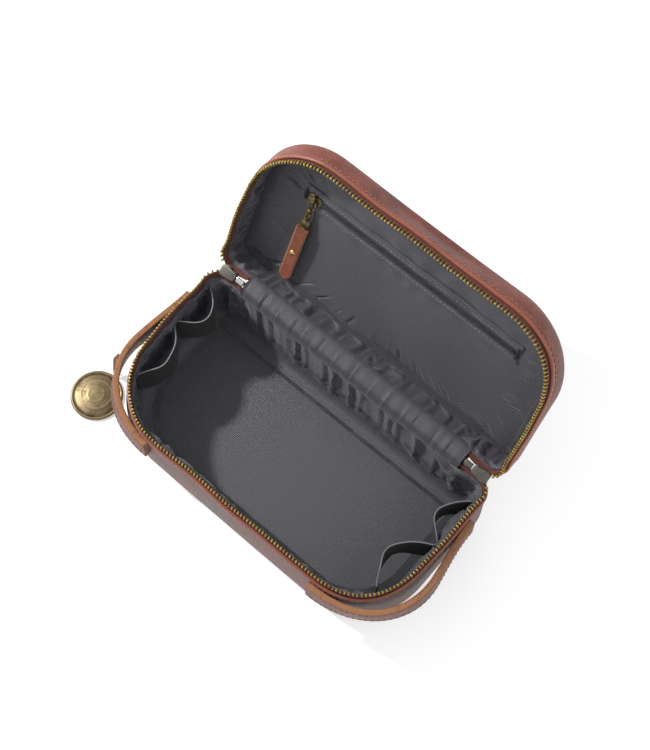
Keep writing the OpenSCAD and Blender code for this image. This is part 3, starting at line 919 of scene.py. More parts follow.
@dataclass(frozen=True)
class Plan:
    """The bag's plan outline: a rectangle with wide front corners and small hinge corners.

    Attributes:
        half_l: half of its length.
        half_w: half of its width.
        front_r: radius of the front corners.
        back_r: radius of the hinge corners.
        seam: the inset on which lengths along the outline are measured.
    """

    half_l: float = 120.0
    half_w: float = 60.0
    front_r: float = 50.0
    back_r: float = 12.0
    seam: float = 2.65

    @property
    def runs(self) -> Array:
        """Lengths of the five runs of one half, from the middle of the front to the middle of the hinge."""
        x, y = self.half_l - self.seam, self.half_w - self.seam
        f, b = self.front_r - self.seam, self.back_r - self.seam
        return np.array([x - f, f * math.pi / 2, 2 * y - f - b, b * math.pi / 2, x - b])

    def place(self, s: Array, inset: Array | float) -> tuple[Array, Array]:
        """Points of the outline moved in by inset.

        A length s is counted from the middle of the front, to the right where it is positive. Each run is
        a straight line or a quarter circle whose radius is what the inset leaves of it.

        Args:
            s: lengths along the outline.
            inset: distances inwards.

        Returns:
            The points and the outward directions, each as rows of x and y.
        """
        s, inset = np.broadcast_arrays(np.asarray(s, float), np.asarray(inset, float))
        side = np.where(s < 0, -1.0, 1.0)
        ends = np.concatenate([[0.0], np.cumsum(self.runs)])
        k = np.clip(np.searchsorted(ends, np.abs(s), side="right") - 1, 0, 4)
        t = np.clip((np.abs(s) - ends[k]) / self.runs[k], 0, 1)
        f, b = np.maximum(self.front_r - inset, 0.6), np.maximum(self.back_r - inset, 0.6)
        x, y = self.half_l - inset, self.half_w - inset
        a = t * math.pi / 2
        sin, cos = np.sin(a), np.cos(a)
        which = [k == i for i in range(5)]
        px = np.select(which, [(x - f) * t, x - f + f * sin, x, x - b + b * cos, (x - b) * (1 - t)])
        py = np.select(which, [-y, f - y - f * cos, (f - y) * (1 - t) + (y - b) * t, y - b + b * sin, y])
        nx = np.select(which, [0 * a, sin, 0 * a + 1, cos, 0 * a])
        ny = np.select(which, [0 * a - 1, -cos, 0 * a, sin, 0 * a + 1])
        return np.stack([side * px, py], -1), np.stack([side * nx, ny], -1)

    def lap(self, step: float) -> Array:
        """Lengths that go once round, evenly about step apart."""
        total = float(self.runs.sum())
        return np.linspace(-total, total, int(2 * total / step) + 1)[:-1]


@dataclass(frozen=True)
class Softness:
    """How far the soft walls stand out from the plain outline, the same on both halves so that they close."""

    lean_left: float = 8.0
    lean_right: float = 3.0
    lean_slider: float = 23.0
    reach: float = 9.0
    bow: float = 6.0

    def lean(self, s: Array) -> Array:
        """Angle of the zip's tape outwards from upright: wide on the left, little on the right, and enough
        at the hinge corners to bring the teeth out to the hinge line.

        Args:
            s: lengths along the outline.

        Returns:
            Angles in degrees.
        """
        s = np.asarray(s, float)
        side = self.lean_left + (self.lean_right - self.lean_left) * smoothstep(s, -70, 30)
        side = side + (self.lean_slider - side) * smoothstep(np.abs(s), 196, 214)
        return side * (1 - smoothstep(np.abs(s), 222, 236))

    def out(self, s: Array, h: Array, depth: float) -> Array:
        """Distance outwards at a distance h from the zip line.

        The tape's lean grows in a straight line above reach; a slow swell and small ripples die away
        towards the floor; the middle of the wall is pushed out a little; and the lid's front bows in.

        Args:
            s: lengths along the outline.
            h: distances from the zip line.
            depth: the half's whole depth.

        Returns:
            Distances in millimetres.
        """
        s, h = np.broadcast_arrays(np.asarray(s, float), np.asarray(h, float))
        slope = np.tan(np.radians(self.lean(s)))
        rim = slope * (np.logaddexp(0, (self.reach - h) / 0.9) * 0.9)
        swell = 0.8 * bell(s, 96, 40) - 3.2 * bell(s, -120, 45)
        fade = 1 - smoothstep(h, 4, min(30.0, depth - 2))
        ripple = (0.45 * np.sin(s / 13.7 + 0.6) + 0.35 * np.sin(s / 8.9 + 2.1)) * (1 - smoothstep(h, 6, 22))
        ripple = ripple * (1 - smoothstep(np.abs(s), 188, 205))
        belly = 0.9 * np.sin(np.pi * np.clip(h / depth, 0, 1)) * (1 + 0.5 * np.sin(s / 47.0 + 1.0))
        bow = self.bow * bell(s, 10, 60) * smoothstep(h, 4, depth - 4) * (depth < 40)
        return rim + swell * fade + ripple + belly - bow


@dataclass(frozen=True)
class Half:
    """One half of the bag: the base below the zip line or the lid above it.

    A place in a half is x, y and h, its distance from the zip line, as if the bag were closed.
    """

    name: str
    body: str
    depth: float
    edge: float
    up: int
    shift: float
    hinge_y: float = 61.2
    zip_z: float = 62.0
    open_angle: float = 116.0

    def world(self, p: Array) -> Array:
        """Places of the half as points of the open bag: the lid's are turned about the hinge line."""
        x, y, z = p[..., 0], p[..., 1] - self.hinge_y, self.up * p[..., 2]
        if self.up > 0:
            turn = math.radians(-self.open_angle)
            y, z = y * math.cos(turn) - z * math.sin(turn), y * math.sin(turn) + z * math.cos(turn)
        return np.stack([x, y + self.hinge_y, z + self.zip_z], -1)


BASE = Half("base", "base", 62.0, 16.0, -1, 0.25)
LID = Half("lid", "lid", 30.0, 11.0, 1, 0.75)
PLAN = Plan()
SOFT = Softness()


def wall(half: Half, s: Array, inset: Array | float, h: Array | float) -> Array:
    """Places on a half's soft wall.

    Args:
        half: which half.
        s: lengths along the outline.
        inset: distances in from the leather's face.
        h: distances from the zip line.

    Returns:
        Places as x, y and h.
    """
    s, inset, h = np.broadcast_arrays(*(np.asarray(v, float) for v in (s, inset, h)))
    at, normal = PLAN.place(s, inset)
    at = at + normal * SOFT.out(s, h, half.depth)[..., None]
    return np.concatenate([at, h[..., None]], -1)


def wall_frames(half: Half, s: Array, inset: float, h: float) -> tuple[Array, Array, Array, Array]:
    """Places on the wall with three directions at each: along, outwards, and towards the zip line.

    Args:
        half: which half.
        s: lengths along the outline.
        inset: distance in from the leather's face.
        h: distance from the zip line.

    Returns:
        The places and the three directions.
    """
    at = wall(half, s, inset, h)
    along = wall(half, s + 0.4, inset, h) - wall(half, s - 0.4, inset, h)
    rise = wall(half, s, inset, h - 0.8) - wall(half, s, inset, h + 0.8)
    along /= np.linalg.norm(along, axis=1, keepdims=True)
    rise -= along * (rise * along).sum(1, keepdims=True)
    rise /= np.linalg.norm(rise, axis=1, keepdims=True)
    out = np.cross(along, rise)
    normal = PLAN.place(s, 0.0)[1]
    flip = np.sign((out[:, :2] * normal).sum(1, keepdims=True))
    return at, along, out * flip, rise


# ---------------------------------------------------------------- sub-assemblies

@dataclass
class LeatherShell:
    """The outer leather of one half, with its turned edge and the stitches below it."""

    half: Half
    finish: Finish
    leather: float = 2.0
    rim: float = 5.6
    stitch: float = 2.7
    stitch_pitch: float = 3.5

    def profile(self) -> Array:
        """Rows from the middle of the floor, up the outside, over the turned edge and down the inside.

        Returns:
            For each row: its share of the way from the middle, inset, distance from the zip line, and
            how burnished it is.
        """
        d, r, q = self.half.depth, self.half.edge, self.leather
        a = np.linspace(0, math.pi / 2, 9)
        floor = [(k, r, d + 0.0 * k, 0.0) for k in (0.06, 0.3, 0.55, 0.78, 0.93)]
        curve = [(1.0, r * (1 - math.sin(t)), d - r * (1 - math.cos(t)), 0.0) for t in a]
        up = [(1.0, 0.0, h, 0.0) for h in np.linspace(d - r, 9.6, 2 + int((d - r - 9.6) / 3.5))[1:]]
        edge = [(1.0, -0.02, 8.6, 0.0), (1.0, -0.22, 7.9, 0.55), (1.0, -0.42, 7.2, 1.0), (1.0, -0.4, 6.5, 1.0),
                (1.0, -0.12, 5.95, 1.0), (1.0, 0.4, 5.62, 1.0), (1.0, 1.0, 5.55, 1.0), (1.0, 1.6, 5.75, 1.0),
                (1.0, q, 6.3, 1.0), (1.0, q + 0.05, 7.6, 0.4), (1.0, q, 9.6, 0.0)]
        down = [(1.0, q, h, 0.0) for h in np.linspace(14, d - r, 3)]
        inner = [(1.0, q + (r - q) * (1 - math.sin(t)), d - q - (r - q) * (1 - math.cos(t)), 0.0)
                 for t in a[::-2]]
        under = [(k, r, d - q, 0.0) for k in (0.7, 0.4, 0.08)]
        return np.array(floor + curve + up + edge + down + inner + under)

    def patch(self) -> Patch:
        """The profile carried once round the outline and closed at both ends."""
        rows, s = self.profile(), PLAN.lap(2.1)
        share, inset, h, edge = (rows[:, i][:, None] for i in range(4))
        at = wall(self.half, s[None], inset, h)
        soft = SOFT.out(s[None], h, self.half.depth)
        plain, normal = PLAN.place(np.broadcast_to(s, soft.shape), np.broadcast_to(inset, soft.shape))
        fade = (share >= 1) * (1 - smoothstep(h, self.half.depth - self.half.edge, self.half.depth))
        at[..., :2] = plain * share[..., None] + normal * (soft * fade)[..., None]
        step = np.concatenate([[0.0], np.cumsum(np.hypot(np.diff(rows[:, 1]), np.diff(rows[:, 2]))
                                                + 40 * np.abs(np.diff(rows[:, 0])))])
        lap = np.append(s, -s[0])
        uv = np.stack(np.broadcast_arrays(lap[None], step[:, None]), -1)
        count = len(s)
        made = grid(at, uv, True, {"edge": np.broadcast_to(edge, at.shape[:2])})
        for first, row in ((True, 0), (False, len(rows) - 1)):
            middle = np.array([0.0, 0.0, rows[row, 2]])
            ring = row * count + np.arange(count)
            made = capped(made, ring, middle, first, np.vstack([uv[row, :-1], [0.0, 0.0]]))
        return made.moved(self.half.world)

    def stitches(self) -> Patch:
        """A row of stitches round the outside, a few millimetres from the turned edge."""
        total = float(PLAN.runs.sum())
        s = np.arange(-total + 2, total - 1, self.stitch_pitch)
        at, along, out, rise = wall_frames(self.half, s, -0.05, self.rim + 4.0)
        tilt = along + 0.06 * rise
        return repeated(stitch_shape(self.stitch, 0.62), at, tilt, out, rise).moved(self.half.world)

    def build(self) -> None:
        """Makes the shell and its stitches."""
        name = self.half.name
        piece(f"{name}_leather", self.patch(), self.finish, self.half.body, [f"{name}_leather_shell"])
        piece(f"{name}_topstitch", self.stitches(), Finish.TAN_THREAD, self.half.body)


@dataclass
class ZipSide:
    """The zip's tape and teeth on one half."""

    half: Half
    pitch: float = 2.55
    tooth: float = 3.3
    tooth_width: float = 1.45
    tooth_depth: float = 2.5
    clear: float = 0.3
    inset: float = 2.25
    tape: float = 0.8
    reach: float = 230.0
    count: int = 83

    def tape_patch(self) -> Patch:
        """A thin woven band whose edge carries the teeth, sewn in behind the leather."""
        s = np.linspace(-self.reach, self.reach, 260)
        near, far = self.tooth + self.clear - 0.9, 13.5
        h = np.array([far, 10.5, 8.0, 6.5, 5.2, near + 0.3, near])
        rows = np.concatenate([np.stack([np.full(7, self.inset), h], 1),
                               np.stack([np.full(7, self.inset + self.tape), h[::-1]], 1)])
        at = wall(self.half, s[:, None], rows[None, :, 0], rows[None, :, 1])
        sides = np.linalg.norm(np.diff(np.vstack([rows, rows[:1]]), axis=0), axis=1)
        around = np.concatenate([[0.0], np.cumsum(sides)])
        uv = np.stack(np.broadcast_arrays(s[:, None], around[None]), -1)
        made = grid(at, uv, True)
        count = len(rows)
        first = np.arange(count)
        made.faces[count] = np.stack([first[::-1], first + (len(s) - 1) * count])
        made.uv[count] = np.stack([uv[0, :-1][::-1], uv[-1, :-1]])
        return made.moved(self.half.world)

    def teeth(self) -> Patch:
        """Teeth at even steps along the tape, each upright on the leaning tape."""
        i = np.arange(self.count)
        s = np.concatenate([-(i[::-1] + 1 - self.half.shift) * self.pitch, (i + self.half.shift) * self.pitch])
        at, along, out, rise = wall_frames(self.half, s, self.inset + self.tape / 2, self.tooth + self.clear)
        shape = tooth_shape(self.tooth, self.tooth_width, self.tooth_depth)
        return repeated(shape, at, along, out, rise).moved(self.half.world)

    def build(self) -> None:
        """Makes the tape and the teeth."""
        name = self.half.name
        piece(f"{name}_tape", self.tape_patch(), Finish.ZIP_TAPE, self.half.body, [f"{name}_zip_tape"])
        piece(f"{name}_teeth", self.teeth(), Finish.TEETH, self.half.body, [f"{name}_zip_teeth"], sharp=50)


def gathers(s: Array, v: Array, seed: int, size: float) -> Array:
    """Soft upright folds that wander, from a sum of waves with seeded phases.

    Args:
        s: distances along the cloth.
        v: distances down it.
        seed: picks the phases.
        size: the folds' usual spacing.

    Returns:
        Heights from about -1 to 1.
    """
    chance = np.random.default_rng(seed)
    total = np.zeros(np.broadcast(s, v).shape)
    weight = 0.0
    for k in range(9):
        scale = size * (0.55 + 0.22 * k)
        phase, drift, lean = chance.uniform(0, 6.28, 3)
        wander = 0.9 * np.sin(v / (size * 1.7) + drift) + (lean - 3.14) * 0.16 * v / size
        part = 1.0 / (1 + 0.35 * k)
        total += part * np.sin(2 * math.pi * s / scale + phase + wander)
        weight += part
    return total / weight * 1.8


@dataclass
class Crumple:
    """A short cloth simulation that lets a sheet which is too big for its place buckle."""

    grow: float = 0.10
    frames: int = 26
    bend: float = 0.35
    stretch: float = 18.0

    def run(self, target: bpy.types.Object, pinned: Array, normal: Array, inwards: float, outwards: float) -> Array:
        """Runs it and writes the buckled shape into the mesh.

        Args:
            target: the sheet, an object with no modifier.
            pinned: how firmly each point is held, from 0 to 1.
            normal: the direction into the room at each point.
            inwards: the most that a point may move along normal.
            outwards: the most that it may move against it.

        Returns:
            How far each point moved along normal.
        """
        mesh = target.data
        rest = np.empty(len(mesh.vertices) * 3)
        mesh.vertices.foreach_get("co", rest)
        rest = rest.reshape(-1, 3)
        group = target.vertex_groups.new(name="held")
        for level in np.unique(np.round(pinned, 1)):
            if level > 0:
                group.add(np.flatnonzero(np.round(pinned, 1) == level).tolist(), float(level), "REPLACE")
        cloth = target.modifiers.new("buckle", "CLOTH")
        settings = cloth.settings
        settings.quality = 5
        settings.mass = 0.2
        settings.tension_stiffness = settings.compression_stiffness = self.stretch
        settings.shear_stiffness = self.stretch * 0.4
        settings.bending_stiffness = self.bend
        settings.tension_damping = settings.compression_damping = 8
        settings.shear_damping, settings.bending_damping = 8, 1.5
        settings.air_damping = 4
        settings.vertex_group_mass = "held"
        settings.pin_stiffness = 1.0
        settings.shrink_min = -self.grow
        settings.effector_weights.gravity = 0
        cloth.collision_settings.use_collision = False
        scene = bpy.context.scene
        cloth.point_cache.frame_start, cloth.point_cache.frame_end = 1, self.frames
        for number in range(1, self.frames + 1):
            scene.frame_set(number)
        ready = target.evaluated_get(bpy.context.evaluated_depsgraph_get()).to_mesh()
        moved = np.empty(len(mesh.vertices) * 3)
        ready.vertices.foreach_get("co", moved)
        target.modifiers.remove(cloth)
        target.vertex_groups.clear()
        scene.frame_set(1)
        step = moved.reshape(-1, 3) - rest
        along = (step * normal).sum(1)
        kept = np.clip(along, -outwards * MM, inwards * MM)
        side = step - along[:, None] * normal
        length = np.linalg.norm(side, axis=1, keepdims=True)
        side *= np.minimum(1, 4 * MM / np.maximum(length, 1e-9))
        mesh.vertices.foreach_set("co", (rest + side + kept[:, None] * normal).ravel())
        mesh.update()
        return kept / MM


def thickened(target: bpy.types.Object, thick: float, levels: int = 1) -> None:
    """Gives a sheet its thickness behind the side that is seen, and rounds it."""
    if levels:
        smooth = target.modifiers.new("smooth", "SUBSURF")
        smooth.levels = smooth.render_levels = levels
    solid = target.modifiers.new("thickness", "SOLIDIFY")
    solid.thickness, solid.offset, solid.use_even_offset = thick * MM, -1.0, False


@dataclass
class BaseLining:
    """The woven tub inside the base: a gathered wall and a smoother floor."""

    inset: float = 4.0
    top: float = 6.0
    floor: float = 56.6
    corner: float = 9.0
    fullness: float = 0.11

    def cut(self) -> tuple[float, float, float]:
        """The cloth before it was sewn: a wall strip, as much too big as fullness says, beside a plain floor.

        Returns:
            The width and length that the two pieces take up side by side, and their area, in metres.
        """
        tall = (self.floor - self.corner - self.top + self.corner * math.pi / 2) * MM * (1 + self.fullness)
        wide = seam_length(self.inset) * (1 + self.fullness)
        base = PLAN.place(PLAN.lap(1.0), self.inset + self.corner)[0]
        return wide, tall + float(np.ptp(base[:, 1])) * MM, wide * tall + enclosed(base)

    def build(self) -> None:
        """Makes the tub as one sheet, buckled between its upper seam and the floor seam."""
        s = PLAN.lap(1.8)
        q, r, d = self.inset, self.corner, self.floor
        down = np.linspace(self.top, d - r, 22)
        a = np.linspace(0, math.pi / 2, 6)[1:]
        rows = [(1.0, q, h) for h in down]
        rows += [(1.0, q + r * (1 - math.cos(t)), d - r + r * math.sin(t)) for t in a]
        rows += [(k, q + r, d) for k in (0.94, 0.84, 0.7, 0.52, 0.34, 0.16, 0.05)]
        rows = np.array(rows)
        share, inset, h = (rows[:, i][:, None] for i in range(3))
        at, normal = PLAN.place(*np.broadcast_arrays(s[None], inset))
        soft = SOFT.out(s[None], h, BASE.depth) * (1 - smoothstep(h, d - r, d))
        seed = gathers(s[None], h, 11, 15.0)
        grip = smoothstep(h, self.top, self.top + 10) * (1 - smoothstep(h, d - r - 3, d - 1))
        pull = np.maximum(seed, -0.2) * grip * (1.3 + 1.2 * bell(np.abs(s[None]), 205, 26)
                                                + 1.0 * bell(np.abs(s[None]), 100, 34))
        at = at * share[..., None] + normal * (soft - pull * 1.1)[..., None] * (share[..., None] >= 1)
        places = np.concatenate([at, np.broadcast_to(h, at.shape[:2])[..., None]], -1)
        step = np.concatenate([[0.0], np.cumsum(np.hypot(np.diff(rows[:, 1]), np.diff(rows[:, 2])))])
        lap = np.append(s, -s[0])
        uv = np.stack(np.broadcast_arrays(lap[None], step[:, None]), -1).copy()
        floor_rows = len(rows) - 7
        closed = np.concatenate([at, at[:, :1]], 1)
        uv[floor_rows:] = closed[floor_rows:]
        made = grid(places, uv, True)
        count = len(s)
        ring = (len(rows) - 1) * count + np.arange(count)
        made = capped(made, ring, np.array([0.0, 0.0, d]), False,
                      np.vstack([uv[-1, :-1], [0.0, 0.0]]))
        tub = piece("base_lining_tub", made.moved(BASE.world), Finish.BODY_LINING, "base", ["base_lining"], False)
        into = np.concatenate([normal * -1.0, 0 * normal[..., :1]], -1)
        into[floor_rows:] = (0.0, 0.0, 1.0)
        into = np.concatenate([into.reshape(-1, 3), [[0.0, 0.0, 1.0]]])
        facing(tub, into)
        held = np.concatenate([np.broadcast_to(
            np.where((h <= self.top + 0.5) | (h >= d - r - 0.5), 1.0, 0.0), at.shape[:2]).ravel(), [1.0]])
        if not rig.quick():
            moved = Crumple(self.fullness, 24, 0.28).run(tub, held, into, 7.0, 1.0)
            log.info("base lining buckled by %.1f mm", float(moved.max()))
        thickened(tub, 0.6, 0)
        wide, tall, area = self.cut()
        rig.sheet(tub, (wide, tall), "gathered", ["base_leather"], area=area)


def enclosed(loop: Array) -> float:
    """Area inside a closed outline, in square metres."""
    x, y = loop.T
    return abs(float((x * np.roll(y, -1) - y * np.roll(x, -1)).sum())) / 2 * MM * MM


def seam_length(inset: float) -> float:
    """Length once round the outline moved in by inset, in metres."""
    at = PLAN.place(PLAN.lap(1.0), inset)[0]
    return float(np.linalg.norm(np.roll(at, -1, axis=0) - at, axis=1).sum()) * MM


def facing(target: bpy.types.Object, into: Array) -> None:
    """Turns an open sheet over where the side that is seen doesn't face into.

    Args:
        target: the sheet.
        into: for each point, the direction that its seen side faces.
    """
    mesh = target.data
    normals = np.empty(len(mesh.vertices) * 3)
    mesh.vertex_normals.foreach_get("vector", normals)
    if (normals.reshape(-1, 3) * into).sum() < 0:
        mesh.flip_normals()


def turned(half: Half, at: Array, way: Array) -> Array:
    """A direction at places of a half, as a direction of the open bag."""
    return half.world(at + way) - half.world(at)


@dataclass
class LidLining:
    """The gathered woven wall inside the lid, from the zip down to the pocket panel."""

    inset: float = 4.0
    top: float = 6.0
    panel: float = 23.0
    fullness: float = 0.13

    def build(self) -> None:
        """Makes the wall as one sheet, buckled between the zip's seam and the panel's seam."""
        s = PLAN.lap(2.0)
        h = np.linspace(self.top, self.panel, 13)[:, None]
        at, normal = PLAN.place(*np.broadcast_arrays(s[None], np.full_like(h, self.inset)))
        grip = smoothstep(h, self.top, self.top + 5) * (1 - smoothstep(h, self.panel - 4, self.panel))
        corner = bell(np.abs(s[None]), 205, 24) + bell(np.abs(s[None]), 108, 40)
        folds = np.maximum(gathers(s[None], h, 5, 11.0), -0.25) * grip * (1.2 + 1.5 * corner)
        at = at + normal * (SOFT.out(s[None], h, LID.depth) - folds)[..., None]
        places = np.concatenate([at, np.broadcast_to(h, at.shape[:2])[..., None]], -1)
        uv = np.stack(np.broadcast_arrays(np.append(s, -s[0])[None], h), -1)
        made = piece("lid_lining_gathers", grid(places, uv, True).moved(LID.world), Finish.BODY_LINING, "lid",
                     ["lid_lining_wall"], False)
        inward = np.concatenate([normal * -1.0, 0 * normal[..., :1]], -1)
        into = turned(LID, places, inward).reshape(-1, 3)
        facing(made, into)
        held = np.broadcast_to(((h <= self.top + 0.5) | (h >= self.panel - 0.5)) * 1.0, at.shape[:2]).ravel()
        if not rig.quick():
            moved = Crumple(self.fullness, 24, 0.22).run(made, held, into, 6.0, 0.8)
            log.info("lid lining buckled by %.1f mm", float(moved.max()))
        thickened(made, 0.6)
        grown = 1 + self.fullness
        flat = (seam_length(self.inset) * grown, (self.panel - self.top) * MM * grown)
        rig.sheet(made, flat, "gathered", ["lid_leather"])


@dataclass
class LidPanel:
    """The flat pocket panel in the lid, its grosgrain binding and the coil zip across it."""

    inset: float = 4.4
    panel: float = 22.8
    binding: float = 6.0
    zip_y: float = -18.8
    half_zip: float = 84.0
    gap: float = 3.0
    welt: float = 4.6
    half_deep: float = 57.0

    def surface(self, x: Array, y: Array) -> Array:
        """Relief of the panel towards the opening, from slack between its seams and drawn threads.

        Args:
            x: places along the bag.
            y: places towards the hinge.

        Returns:
            Heights in millimetres.
        """
        slack = 1.3 * np.sin(x / 23.0 + 0.4) * np.sin((y + 9) / 15.0) + 0.8 * np.sin(x / 11.0 - y / 19.0)
        seam = bell(y, self.zip_y, 9.0)
        drawn = 0.55 * np.sin(x / 2.9 + np.sin(x / 17.0) * 2) * bell(y, self.zip_y + 10, 4.5)
        drawn = drawn + 0.7 * np.sin(x / 3.6 + np.sin(x / 13.0)) * bell(y, self.zip_y - 10, 4.5)
        return slack * (1 - seam) + drawn

    def rim(self, s: Array, inset: float) -> Array:
        """Places near the panel's edge, moved out with the soft wall behind it."""
        at, normal = PLAN.place(s, inset)
        return at + normal * SOFT.out(s, self.panel, LID.depth)[:, None]

    def cloth_patch(self) -> tuple[Patch, Array]:
        """Rows from the panel's rim to its middle, with small gathers along the binding."""
        s = PLAN.lap(2.0)
        share = np.concatenate([[1.0, 0.985, 0.965, 0.94], np.linspace(0.91, 0.05, 22)])[:, None]
        rim = self.rim(s, self.inset)
        at = rim[None] * share[..., None]
        inside = (1 - share) * self.half_deep
        fold = gathers(s[None], inside, 23, 8.0)
        pucker = (fold * 0.7 - np.clip(-fold - 0.55, 0, 1) * 1.6) * bell(inside, 9.0, 4.5)
        flat = 1 - np.clip(bell(inside, 0, 3.0), 0, 1)
        h = self.panel - (self.surface(at[..., 0], at[..., 1]) * flat + pucker)
        places = np.concatenate([at, h[..., None]], -1)
        ring = np.concatenate([at, at[:, :1]], 1)
        made = grid(places, ring, True)
        count = len(s)
        last = (len(share) - 1) * count + np.arange(count)
        middle = np.array([0.0, 0.0, self.panel - float(self.surface(np.array(0.0), np.array(0.0)))])
        made = capped(made, last, middle, False, np.vstack([ring[-1, :-1], [0.0, 0.0]]))
        return made, made.points

    def strip(self, y: float, wide: float, h: float, thick: float, reach: float) -> Patch:
        """A narrow folded strip along the bag, following the panel's relief."""
        x = np.linspace(-reach, reach, 130)
        lift = self.surface(x, np.full_like(x, y))
        at = np.stack([x, np.full_like(x, y), h - lift], 1)
        across, up = np.tile([0.0, 1.0, 0.0], (len(x), 1)), np.tile([0.0, 0.0, -1.0], (len(x), 1))
        return carried(rounded(wide, thick, thick * 0.45), at, across, up)

    def coil_patch(self) -> Patch:
        """Two rows of slanted nylon loops that meet along the middle."""
        x = np.arange(-self.half_zip + 9.0, self.half_zip - 1, 1.25)
        shape = stitch_shape(2.1, 0.72)
        rows = []
        for side in (-1, 1):
            at = np.stack([x + 0.31 * side, np.full_like(x, self.zip_y + side * 0.85),
                           self.panel - 1.2 - self.surface(x, np.full_like(x, self.zip_y))], 1)
            along = np.tile([0.33 * side, 0.94, 0.0], (len(x), 1))
            up = np.tile([0.0, 0.0, -1.0], (len(x), 1))
            rows.append(repeated(shape, at, along, up, np.cross(along, up)))
        return join(rows)

    def stitched(self, y: float, reach: float) -> Patch:
        """A dotted row of stitches along the strip at y."""
        x = np.arange(-reach, reach, 3.1)
        lift = self.surface(x, np.full_like(x, y))
        at = np.stack([x, np.full_like(x, y), self.panel - 1.0 - lift], 1)
        along, up = np.tile([1.0, 0.0, 0.0], (len(x), 1)), np.tile([0.0, 0.0, -1.0], (len(x), 1))
        return repeated(stitch_shape(1.9, 0.42), at, along, up, np.cross(along, up))

    def tacks(self) -> Patch:
        """Close bars of thread across both ends of the zip."""
        y = np.linspace(-4.2, 4.2, 15) + self.zip_y
        parts = []
        for side in (-1, 1):
            x = np.full_like(y, side * (self.half_zip + 1.4))
            at = np.stack([x, y, self.panel - 1.05 - self.surface(x, y)], 1)
            along, up = np.tile([1.0, 0.0, 0.0], (len(y), 1)), np.tile([0.0, 0.0, -1.0], (len(y), 1))
            parts.append(repeated(stitch_shape(2.4, 0.55), at, along, up, np.cross(along, up)))
        return join(parts)

    def binding_patch(self) -> Patch:
        """A ribbed tape round the panel's rim, a little wavy along its free edge."""
        s = PLAN.lap(2.0)
        wave = 0.35 * np.sin(s / 6.3) + 0.25 * np.sin(s / 3.9 + 2)
        first = self.rim(s, self.inset - 0.9)
        inward = PLAN.place(s, 0.0)[1] * -1.0
        far = self.rim(s, self.inset + self.binding) + inward * wave[:, None] * 0.5
        rise = np.array([(0.0, 0.0), (0.12, 1.0), (0.5, 1.15), (0.88, 1.0), (1.0, 0.1), (0.5, -0.2)])
        at = first[:, None] + (far - first)[:, None] * rise[None, :, :1]
        lift = rise[None, :, 1] * (0.9 + 0.25 * wave[:, None])
        places = np.concatenate([at, (self.panel - lift)[..., None]], -1)
        around = np.array([0.0, 1.2, 3.4, 5.6, 6.6, 9.6, 12.6])
        uv = np.stack(np.meshgrid(np.append(s, -s[0]), around, indexing="ij"), -1)
        rows = np.concatenate([places, places[:1]])
        made = grid(rows, uv, True)
        count = rows.shape[1]
        faces = made.faces[4] % (len(s) * count)
        return Patch(made.points[:len(s) * count], {4: faces}, made.uv)

    def build(self) -> None:
        """Makes the panel, its binding, and the zip's strips, coil, stitches and bars."""
        cloth, places = self.cloth_patch()
        panel = piece("lid_panel_cloth", cloth.moved(LID.world), Finish.POCKET_LINING, "lid",
                      ["lid_pocket_panel"], False)
        up = np.tile([0.0, 0.0, -1.0], (len(places), 1))
        facing(panel, turned(LID, places, up))
        thickened(panel, 0.6, 0)
        rim = PLAN.place(PLAN.lap(1.0), self.inset)[0]
        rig.sheet(panel, (0.232, 0.112), "stretched", ["lid_binding"], area=enclosed(rim))
        piece("lid_binding", self.binding_patch().moved(LID.world), Finish.GROSGRAIN, "lid", ["lid_panel_binding"])
        reach = self.half_zip + 3.0
        tapes = join([self.strip(self.zip_y + side * 2.9, 4.6, self.panel - 0.45, 0.6, reach) for side in (-1, 1)])
        piece("pocket_tape", tapes.moved(LID.world), Finish.POCKET_TAPE, "lid", ["pocket_zip_tape"])
        welts = join([self.strip(self.zip_y + side * (self.gap + self.welt / 2), self.welt, self.panel - 0.55,
                                 0.9, reach) for side in (-1, 1)])
        piece("pocket_welts", welts.moved(LID.world), Finish.POCKET_LINING, "lid")
        piece("pocket_coil", self.coil_patch().moved(LID.world), Finish.COIL, "lid", ["pocket_zip_coil"])
        rows = join([self.stitched(self.zip_y + side * (self.gap + 1.3), self.half_zip + 1) for side in (-1, 1)])
        piece("pocket_stitches", rows.moved(LID.world), Finish.GREY_THREAD, "lid")
        piece("pocket_tacks", self.tacks().moved(LID.world), Finish.BLACK_THREAD, "lid", ["pocket_zip_stops"])


